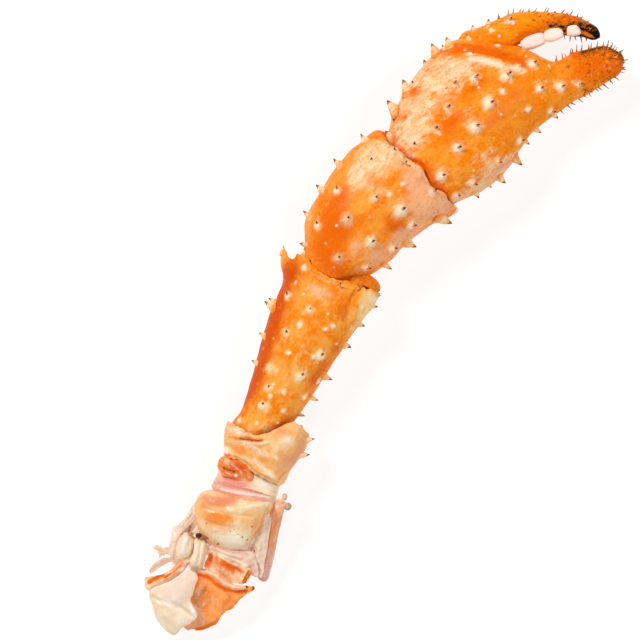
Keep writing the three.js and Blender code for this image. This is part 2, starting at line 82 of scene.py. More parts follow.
# Stations: along, left edge, right edge, top and bottom. bend is the exponent of the rings, if it is not
# ROUNDNESS. caps are the lengths over which the two ends round off, and 0 is an open mouth whose rim runs
# along the points of rim: across, along. mouth is how deep its inner wall is, if not MOUTH_DEPTH.
SEGMENTS = {
    "palm": dict(start=(62.6, 12.2), turn=-25.2, caps=(12, 7), stations=[
        (-7, 19.5, -15, 29, 5), (4.5, 26.4, -20.5, 33, 0), (13, 32.8, -21.7, 35, -1.2),
        (28, 39.8, -22, 36.5, -1.4), (42, 43.8, -17.8, 35, -0.8), (51, 41.2, -12.4, 32.5, 0.6),
        (57, 36.6, -9.6, 30.5, 2.4), (65, 30.8, -8.2, 28.5, 4.4), (70, 27, -7.6, 27.6, 5.2),
        (74, 21.8, -7.2, 27, 6), (79, 13.9, -6.6, 26, 7), (90, 13.1, -6.2, 24.5, 8.4),
        (99, 10.8, -6, 22.6, 9.8), (105, 8.2, -4.6, 21, 11), (108.8, 4.4, -1.6, 19, 13),
    ]),
    "finger": dict(start=(121.7, 26.2), turn=-48.4, caps=(5, 5), stations=[
        (-3, 7, -3, 20, 10), (7.6, 9, -4, 21.5, 9), (15, 11.4, -3, 23, 9), (22, 13.8, -1, 23.8, 9),
        (30, 14, 2.2, 23.6, 9.4), (38, 13, 3.8, 22.8, 10), (42, 12.4, 3.4, 22.4, 10.4),
        (45, 11.8, 2, 22, 10.6), (49, 10.6, 1.2, 21.5, 11), (53, 8.9, 0.4, 21, 11.6),
        (58, 5.9, -1.5, 19.6, 12.4), (61.3, 2.4, -1.9, 18, 13.6),
    ]),
    "wrist": dict(start=(4.8, 12.5), turn=-0.3, caps=(10, 0), hugs="palm", stations=[
        (-9, 13, -3.4, 26, 6), (-4, 16, -5.4, 28.4, 4.4), (5, 20.6, -9.4, 31, 2.4), (11, 24.6, -13, 33, 0.6),
        (22, 27.4, -16.2, 35, -1), (33, 28.2, -17.8, 36, -1.2), (42, 28.6, -20.4, 36.6, -0.8),
        (50, 28.2, -23.4, 36.8, 0), (57, 26, -22.4, 36.4, 1), (62, 24, -19, 36, 2.6),
    ], rim=[
        (-24, 50), (-22.5, 52.6), (-19.8, 55.6), (-16.6, 57), (-13.6, 58.6), (-11, 57.2), (-8.9, 57.4),
        (-4.4, 60.2), (-1.4, 62.8), (2, 61.4), (5.6, 60.6), (8.7, 62.2), (12.6, 64), (16.4, 62.4),
        (20.9, 59.8), (25.5, 56.4),
    ]),
    "upper_arm": dict(start=(-74.1, -2.8), turn=10.9, caps=(10, 0), hugs="wrist", stations=[
        (-9, 12.4, -2, 21, 5), (-4, 13.2, -3.4, 22.4, 3.6), (2, 13.2, -6, 23.8, 2.2),
        (7, 12, -8.8, 24.8, 1.2), (13, 12.4, -11.4, 26, 0.2), (24, 14.2, -13.6, 27.6, -0.8),
        (38, 17, -15.4, 29, -1.2), (49, 18.6, -17, 29.8, -1.2), (60, 19.4, -18.6, 30.6, -1),
        (69, 20.4, -20, 31, -0.4), (74, 23.8, -21.6, 31.2, 0.4), (78.5, 26, -22, 31, 1.4),
        (82, 27, -21.8, 30.8, 2.4),
    ], rim=[
        (-24, 77), (-20.6, 82.2), (-18, 81.6), (-15.5, 80.4), (-11.8, 79.8), (-7.7, 80.3), (-2.6, 78.6),
        (2.1, 78), (7.1, 78.2), (11, 79), (13.6, 80.2), (15.4, 81.6), (17.4, 83.6), (19.6, 81), (21.8, 77.8),
        (23.6, 78), (25.4, 80), (27.4, 80.8),
    ]),
    "arm_base": dict(
        start=(-90.7, -10.6), turn=15.9, caps=(0, 0), mouth=4, hugs="upper_arm", start_hugs="hip_skin",
        stations=[
            (1, 15.6, -12.6, 25.4, 3), (6, 15.9, -14.8, 27.4, 1.4), (12, 16.8, -17, 28, 0.6),
            (18, 16.6, -19, 28, 0.6), (23, 15, -19.4, 27.6, 1.2), (29, 12, -18, 26.4, 3),
        ], rim=[
            (-19, 26), (-14, 29), (-10, 29.4), (-6, 26), (-3.6, 23.4), (-1.6, 20.6), (1, 18.4), (3.4, 17.8),
            (6.8, 18.2), (9.9, 19), (13.5, 18.9), (16.3, 17.8),
        ], start_rim=[
            (-15, 0.8), (-12.3, 1.5), (-6.4, 2), (1.2, 3.3), (4.6, 4.8), (7.9, 6), (12, 5.4), (15.3, 4.4),
        ],
    ),
    "hip": dict(start=(-121.2, -25.3), turn=25.5, caps=(6, 5), bend=3, stations=[
        (-2, 13, -3.6, 17, 3), (4, 17.4, -6, 21.4, 0), (10, 20.4, -8.4, 24.4, -1), (17, 21.8, -11, 26, -1.2),
        (22, 20.6, -13, 26, -0.6), (27, 17, -13.8, 24.6, 1.4),
    ]),
    "hip_skin": dict(start=(-98.5, -14.5), turn=21, caps=(4, 5), bend=2.8, stations=[
        (-4, 17, -13.4, 23.8, 3), (1.5, 16.4, -13.4, 23.6, 3), (6, 15.4, -13, 23.4, 3),
        (11, 14.6, -12.2, 23.6, 3.4), (17, 13, -10.6, 22.4, 5),
    ]),
    "hip_knob": dict(start=(-93.4, 3), turn=-62, caps=(4, 6), stations=[
        (-2, 3.6, -5, 22.6, 13), (5, 4, -6.8, 25.2, 14), (11, 3.4, -7, 25.4, 15), (17, 1.6, -5.4, 23.6, 16),
    ]),
    "wrist_knob": dict(start=(61.5, 33.6), turn=-14, caps=(4, 4), stations=[
        (-5, 4.4, -5.4, 23, 8), (2, 5, -6, 25.6, 5), (9, 4, -5, 24, 7),
    ]),
    "elbow_knob": dict(start=(7.4, 3.8), turn=-70, caps=(4, 5), stations=[
        (-5, 5, -5, 25, 12), (3, 5.4, -5, 24, 11), (8, 4.8, -4.4, 21.6, 11), (12.4, 3.6, -3, 18.6, 12),
    ]),
}
FACES = {  # rings and points on a ring, kept under 200,000 triangles a piece
    "palm": (290, 256), "finger": (190, 130), "wrist": (200, 250), "upper_arm": (240, 210),
    "arm_base": (130, 240), "hip": (130, 200), "hip_skin": (100, 190),
    "hip_knob": (80, 80), "wrist_knob": (50, 50), "elbow_knob": (60, 70),
}

# Warts: along, across and radius in mm.
WARTS = {
    "palm": [
        (10.9, -7.4, 2.9), (22.9, -0.1, 3), (34.2, 4.6, 3.1), (44.6, 10.7, 3.1), (52.7, 12.5, 1.64),
        (57.6, 18.2, 3.3), (12.7, -18.1, 2.2), (21.4, -17.2, 2.8), (35.4, -14, 2.5), (49.2, -10.1, 2.1),
        (59.3, 0.1, 1.6), (68.1, 5.9, 2.4), (68.3, -5.4, 2), (76.8, 2.1, 2.7), (70.5, 17, 2.6),
        (63.6, 19, 1.6), (6.2, 10.5, 2.7), (18.1, 12.2, 2.5), (27.4, 18, 2.6), (35.2, 26, 1.8),
        (44.4, 23.9, 2.6), (61, 31.4, 1.3), (63.8, 31, 1.2), (60, 32, 1), (47.7, 33.6, 1.8),
        (84.9, -0.8, 1.8), (56.3, 34.4, 0.8),
    ],
    "wrist": [
        (58.6, 4.7, 2.2), (38.1, 6, 2.4), (41, -6.2, 4), (21.6, -4.1, 3), (23.2, 10.4, 2.8), (7.2, 3.4, 2.4),
        (11.1, -9.2, 2.8), (25.1, -13.3, 2.7), (38.6, -14.2, 2.8), (13.4, 19.8, 2.2), (56, -12.4, 3.4),
        (43.6, 2, 1.3), (51, 0, 1.2), (50.4, 17.6, 2), (31, 22, 2), (60.2, 12.2, 1.9),
    ],
    "upper_arm": [
        (61.2, 3.4, 2.1), (53.6, 4.7, 1.64), (47.3, 8.4, 2.3), (59.8, -8.8, 1.64), (57, -6.4, 1.3),
        (45, -9.4, 2.7), (43.2, -7.2, 1.5), (40.1, 3.7, 1.3), (30.3, 7.5, 2.6), (33.1, -5.6, 2.5),
        (34, -14, 1.6), (22, 5, 1.7), (24.6, 3.8, 1), (23.3, -1.8, 1.6), (25, -11, 1.6), (19.2, 2.7, 1.2),
        (13.6, 4, 2.4), (15.5, -5.3, 1.3), (77, -3.6, 1.9), (63.1, 15.2, 1.9), (78, 14, 1.6),
        (70, 14.6, 1.1), (5.4, 3, 1.2), (9.6, -5.4, 1), (67, 9, 1), (3, 10.4, 1.6),
    ],
    "finger": [(21, 10.8, 2), (22.6, 9.2, 1.1), (12.6, 7, 1.2), (16, 4, 1)],
}
BLUNT = {("upper_arm", 30.3)}  # large warts without a thorn's tip, by segment and along
DULL = {  # warts that are hardly whiter than the shell round them
    ("wrist", 23.2), ("wrist", 7.2), ("wrist", 38.1), ("upper_arm", 47.3), ("upper_arm", 30.3),
    ("upper_arm", 22), ("upper_arm", 61.2), ("palm", 84.9), ("palm", 27.4), ("palm", 18.1), ("finger", 21),
}
SCATTER = {  # small warts: how many on the outer face, how many below, and the along range
    "palm": (40, 26, (6, 84)), "wrist": (12, 22, (6, 52)),
    "upper_arm": (24, 22, (6, 74)), "finger": (4, 6, (6, 30)),
}

# Thorns at the edges: along and across of the tip, along and across of the foot, radius of the foot.
THORNS = {
    "palm": [
        (4.6, 34.6, 7.2, 26.4, 3.6), (7.4, 29, 9.4, 23, 2.8), (-2.6, 22.6, 0.4, 16.4, 3.2),
        (15.6, 39.6, 15.4, 31.4, 3.4), (18.9, 37, 19.6, 30, 2.8), (28.1, 42.6, 28.4, 36.2, 3),
        (34.7, 47.6, 34.8, 40.4, 3.1), (41.9, 46.8, 41.8, 41, 2.8), (38.6, 44.8, 38.8, 38.8, 2),
        (51, 43.6, 50.4, 38.6, 2), (44.8, -21.2, 43.4, -15, 2.7), (34.3, -24.8, 33.2, -19, 2.8),
        (28, -23.4, 27.6, -19.6, 1.6), (52.4, -14.4, 51, -10.2, 1.9), (59.4, -12.4, 57.8, -7.8, 2.3),
        (20.8, -24.8, 20.6, -20, 2.2), (69.4, -10.2, 68.2, -6.2, 1.8), (1.2, 12.8, 2.6, 9.4, 1.6),
    ],
    "finger": [(3.9, 10.6, 4.8, 6.4, 2.1), (11.4, 12.6, 11.4, 8, 2.2)],
    "wrist": [
        (57.4, 29.2, 56, 23.4, 2.7), (49.4, -29, 49.2, -21, 3.4), (31.6, -22.4, 31, -15.4, 3.2),
        (1.2, 21.8, 4.4, 15.6, 2.6), (14, 29.4, 14.6, 22.4, 2.5), (27, 31.8, 27, 25.2, 2.7),
        (41, 32.4, 41, 26, 2.7), (53.6, -24.4, 52.8, -19.4, 2), (17, -19.4, 17.2, -13, 2.3),
        (61.9, -2.6, 59.4, -4, 1.4), (64.2, 12.2, 61.4, 11, 1.6),
    ],
    "upper_arm": [
        (82.4, 26.9, 79.4, 25.4, 1.5), (55.6, 24.2, 55.2, 17, 2.8), (57.8, 23, 58.2, 17.6, 1.9),
        (42.2, 20.2, 42, 15.4, 2), (29.5, 17.8, 29.6, 12.8, 2), (54, -21, 53.6, -15, 3),
        (65, -22.6, 65.4, -17, 2.2), (37, -19.6, 37.4, -13.4, 2.4), (81, -22.6, 79, -19, 1.8),
        (75.6, -24, 75, -19, 2), (85.6, 17.4, 82, 16.6, 1.4), (81.6, -3, 78.4, -3.4, 1.4),
        (26, -18, 26.2, -12.4, 1.9), (17, -15.6, 17.2, -10.4, 1.6),
    ],
    "arm_base": [(18.4, -22.2, 16.8, -16.6, 2.3), (26, -21.6, 24, -17.4, 2)],
}

# Short bristles in bands: along from and to, angle round the ring in degrees from and to, how many,
# length, radius, and how far they lean towards the segment's tip.
BRISTLES = {
    "palm": [
        (79, 109, -12, 12, 15, 2.6, 0.44, 0.35), (104, 108.4, -40, 200, 16, 2.1, 0.4, 0.3),
        (72, 106, 170, 188, 12, 2.6, 0.44, 0.3), (84, 107, 30, 160, 44, 1.2, 0.5, 0.5),
        (90, 108, 25, 165, 40, 0.7, 0.3, 0.5), (84, 107, 195, 345, 30, 1, 0.34, 0.7),
        (20, 84, 30, 150, 18, 0.6, 0.22, 0.8),
    ],
    "finger": [
        (14, 58, -14, 14, 17, 2.3, 0.4, 0.5), (28, 57, 16, 100, 24, 1.2, 0.46, 0.6),
        (34, 56, 190, 216, 10, 3, 0.46, 0.2), (40, 59, 230, 350, 14, 1, 0.3, 0.8),
        (50, 59, 10, 90, 14, 1.2, 0.3, 0.7),
    ],
}

# The finger's teeth: along, across, length, width and turn, with a height and half a thickness for all.
TEETH = [(30.8, 0.5, 11.4, 6.8, 14), (40.3, 3.3, 9.4, 7.2, 6), (49.2, 3.9, 7, 5.6, 0)]
TOOTH_HEIGHT, TOOTH_HALF = 18.6, 3.4
STUB = ((8.2, -22.4, 15), -70, (3.4, 2.2, 2.4))  # the stub below the palm's corner: middle, turn, half sizes

# Soft ovals on the outer face, by mask: along, across, reach along, reach across, strength.
ZONES = {
    "palm": dict(
        pale=[
            (27, 29, 16, 8.4, 0.95), (8, 14, 8, 6, 0.95), (39, 31, 7.6, 4, 0.7), (14, 23, 8, 7, 0.8),
            (47, 28, 6, 4, 0.35), (3, 6, 4, 4, 0.3), (34, 12, 6, 4, 0.3), (33, -15, 9, 4, 0.7),
            # (26, -20.6) and (46, -16): the cream lower edge, made lighter as painted light against the
            # edge's shade
            (35, -18.6, 8, 3, 0.6), (12, -12, 8, 5, 0.25), (26, -20.6, 26, 2.8, 0.95),
            (46, -16, 12, 2.4, 0.8), (26, 38, 14, 5, 0.8), (6, 20, 6, 5, 0.6), (32, -8.4, 7, 3, 0.5),
            (8.2, 23, 3, 2.2, -0.8), (18.6, 31, 3.6, 2.2, -0.8), (23.5, 25.5, 3, 2, -0.5),
            (48.2, 35, 4.4, 1.8, -1),
        ],
        rosy=[
            (35, -18, 7, 2.6, 0.6), (26, -21.6, 26, 2.6, 0.6), (42, -17.4, 10, 2.2, 0.6),
            (57, -11, 10, 1.8, 0.5), (26, 39, 8, 2.4, 0.4), (12, 30, 9, 6, 0.3),
        ],
        # a painted highlight along the lower edge
        wart=[(35, -18.6, 7, 2, 0.4)],
        deep=[
            (18, 32, 3.6, 2.4, 0.8), (8.6, 22.8, 3.6, 2.4, 0.8), (27, 12, 10, 3.6, 0.8),
            (42, 20, 9, 2.6, 0.7), (44, 3, 16, 4, 0.6), (61, -4, 10, 3.4, 0.4), (56, 10, 7, 3, 0.4),
            (100, 3, 12, 9, 0.9), (107, 3, 8, 8, 1), (88, 4, 8, 8, 0.4), (23, 6, 6, 5, 0.4),
            (50, 37, 9, 2.6, 0.5), (62, 30, 8, 2, 0.5), (30, 24, 5, 2, 0.5), (35, 30, 6, 1.6, 0.35),
            (20, 20, 5, 2, 0.4),
        ],
        pits=[(98, 3, 14, 12, 1), (30, 28, 18, 10, 0.3)],
    ),
    "finger": dict(
        deep=[
            (30, 3.4, 8, 2.6, 0.9), (45, 8.6, 8, 2.2, 0.8), (50, 8, 5, 3, 0.8), (56, 7, 6, 3, 1),
            (37, 8, 6, 2, 0.4), (56, 1.6, 3.4, 1.6, 1),
        ],
        pits=[(45, 9, 14, 6, 1), (54, 7.4, 5, 2, 1), (56, 2.6, 4.6, 3, 1)],
        dark=[(60.8, 0, 1.5, 1.8, 1)],
    ),
    "wrist": dict(
        pale=[
            (54, 16, 9, 8, 0.95), (60, 8, 4, 7, 0.6), (40, 17.4, 6, 4, 0.75), (41, 7, 6, 5, 0.5),
            (12, -7.6, 7, 3.6, 0.55), (45, 20, 8, 5, 0.6), (50, -21, 6, 3, 0.5), (54, -16, 9, 5, 0.5),
            (57, -4, 4, 5, 0.5), (19, -12, 4, 2.6, 0.4),
        ],
        rosy=[
            (55, -9, 9, 8, 0.85), (54, -21, 6, 4, 1), (48, -14, 9, 6, 0.8), (56, -1, 5, 6, 0.7),
            (17, 0.6, 5, 2.6, 0.5), (36, -17, 10, 3, 0.6), (22, -13, 10, 4, 0.4), (19, -9, 5, 4.4, 0.75),
            (14, -1, 4, 2.6, 0.5), (33, -14, 5, 3, 0.6), (30, -12, 4, 3, 0.5),
        ],
        deep=[
            (34, -7, 7, 4, 0.7), (35.6, -14, 6, 2.4, 0.6), (5, 7, 7, 8, 0.8), (16, 13.6, 12, 6, 0.8),
            (28, 19, 12, 5, 0.8), (43, 13.4, 6, 2, 0.5), (30, 3, 9, 5, 0.3), (2, -2, 4, 8, 0.6),
            (17, 7.6, 9, 5, 0.5), (34.6, -9, 3, 6, 0.7),
        ],
    ),
    "upper_arm": dict(
        pale=[
            (77, -18.4, 4, 4.4, 1.3), (69.6, -19.4, 3.6, 3.6, 1.2), (63, -17.6, 4, 2, 0.6),
            # (70, 1) and (71, 4.6), with the rosy at 71 along: a pink-white painted glossy highlight
            (70, 1, 3.6, 8, 0.3), (79, 1, 1.6, 9, 0.5), (40, -1, 22, 4, 0.3), (71, 4.6, 2, 3, 0.6),
            (3, 5, 5, 4, 0.3), (5, -4, 6, 4, 0.2), (5, -3, 4, 6, 0.4),
        ],
        wart=[(78, -19, 2.6, 2.4, 0.6), (69.6, -20.6, 2.4, 2, 0.8)],
        # (71, 4.6) and (71.6, -2): the pink of the painted glossy highlight
        rosy=[(70, -15, 3, 2, 0.4), (71, 4.6, 2.6, 3.6, 0.95), (71.6, -2, 2.4, 4, 0.6), (78, 10, 3, 5, 0.3)],
        deep=[
            # the first three: the deep orange along the left edge, partly painted shade
            (62, 21, 12, 5, 0.8), (42, 18.6, 24, 7.4, 1.3), (20, 15, 14, 6.4, 1.2), (34, -11.8, 5, 3, 0.65),
            (42, -13, 5, 3, 0.5), (51, -14.4, 4, 3, 0.6), (10, -8, 9, 3, 0.5), (68, -9, 6, 3, 0.5),
            (75, 18, 6, 4, 0.5), (1, 3, 3, 8, 0.3),
        ],
    ),
    "arm_base": dict(
        pale=[(18, -7, 4.4, 4.4, 0.8), (17, 11, 2, 4, 0.9), (7.4, 13.4, 1.6, 3, 0.8)],
        wart=[(21.4, -10.4, 3, 4, 0.7), (17, 11.6, 1.2, 2.6, 0.6), (7.8, 14.6, 1.4, 1.6, 0.9)],
        rosy=[
            (12.8, -13, 4, 3, 0.9), (24.4, -6.4, 2, 3, 0.8), (18, -17, 10, 2.4, 0.9),
            (18.6, 15.4, 2, 2, 0.7),
        ],
        deep=[
            (9.9, 7.6, 2.4, 3, 1), (9.9, -2.6, 2.6, 3, 0.6), (12.3, 1.2, 1.6, 2.2, 0.6),
            (9.6, 12, 1.6, 2.4, 0.5), (14.8, 4.4, 1.2, 3, 0.5), (10.4, -9, 3, 2.6, 0.4),
            (5.5, -11, 3, 1.6, 0.5),
        ],
        dark=[(11.3, 8.7, 0.3, 0.3, 0.4)],
        pits=[(12, 0, 8, 12, 0.4)],
    ),
    "hip": dict(
        rosy=[
            (20, 13, 2.6, 7, 1.3), (22.6, 6, 1.6, 5, 0.7), (16, -12, 7, 1.8, 0.4), (25.4, 2, 1.4, 12, 0.9),
            (0.6, 5, 2, 6, 0.5), (5, -7, 8, 1.8, 0.6), (-1, -2, 1.8, 9, 0.7),
        ],
        deep=[
            (19.6, 12, 1.4, 4, 0.4), (12.6, 11, 2.6, 5.6, 1.4), (13.2, 8, 2.2, 3.8, 1.3),
            (21, 9, 1.8, 4, 0.7), (12, -7, 2.4, 2, 0.5), (15.4, -6.4, 2.4, 2.6, 0.4), (17.4, 18, 3, 3, 0.5),
        ],
        pale=[
            (6, 1.4, 4.6, 6, 1.2), (7, -5, 6, 3, 0.8), (4, 10, 4, 4, 0.8), (12.4, 1.6, 2.4, 2.6, 0.8),
            (22, 1.6, 2, 4, 1), (8, 17, 5, 3, 0.4), (15.6, 13, 0.7, 5, 0.6),
        ],
        wart=[
            # (1, 3): a painted highlight along the proximal end
            (5.4, 1.2, 3.8, 4.8, 1), (1, 3, 3, 7, 0.7), (12.4, 1.6, 1.8, 2, 0.4), (22.6, 0.6, 1.2, 3, 0.5),
        ],
        dark=[
            (1.1, 8.5, 0.6, 0.6, 0.5), (9.6, 15.2, 0.5, 0.5, 0.4), (12, -5.2, 0.7, 0.5, 0.4),
            (5.5, -4.7, 0.45, 0.45, 0.6), (6.5, -1.9, 0.4, 0.4, 0.6), (7.5, 0.3, 0.35, 0.35, 0.6),
            (8.2, 3.9, 0.35, 0.35, 0.6), (4.4, -3.6, 0.3, 0.3, 0.5), (9.4, 2.4, 0.3, 0.3, 0.5),
        ],
    ),
    "hip_skin": dict(
        pale=[(7, -6, 4, 6, 1.3), (4.6, -10.6, 2.4, 4, 1)],
        wart=[(7.4, -7, 2.4, 4, 0.7)],
        deep=[(11.1, 3.5, 3, 2.6, 1), (8, 0.6, 2.2, 2.2, 0.8), (3, 7, 1.6, 2.6, 0.5), (4.6, 4, 1.4, 4, 0.5)],
        rosy=[(4, 7, 2.6, 6, 1.1), (14, 12, 3, 4, 0.8), (-1.4, 12, 2, 5, 0.9)],
    ),
    "hip_knob": dict(
        deep=[(8, -0.6, 5, 2.6, 0.7)],
        pale=[(2, 1, 2, 1.6, 0.7), (17, -3, 3, 6, 0.9), (9, -6.4, 5, 1.2, 0.6)],
        # (7.2, -4.2): a painted highlight
        wart=[(7.2, -4.2, 0.9, 0.7, 0.9), (10.6, -1.4, 1.6, 0.5, 0.5)],
        rosy=[(5, -6, 5, 1.2, 0.8)],
    ),
    "elbow_knob": dict(deep=[(-2, 2, 4, 6, 0.5)]),
}

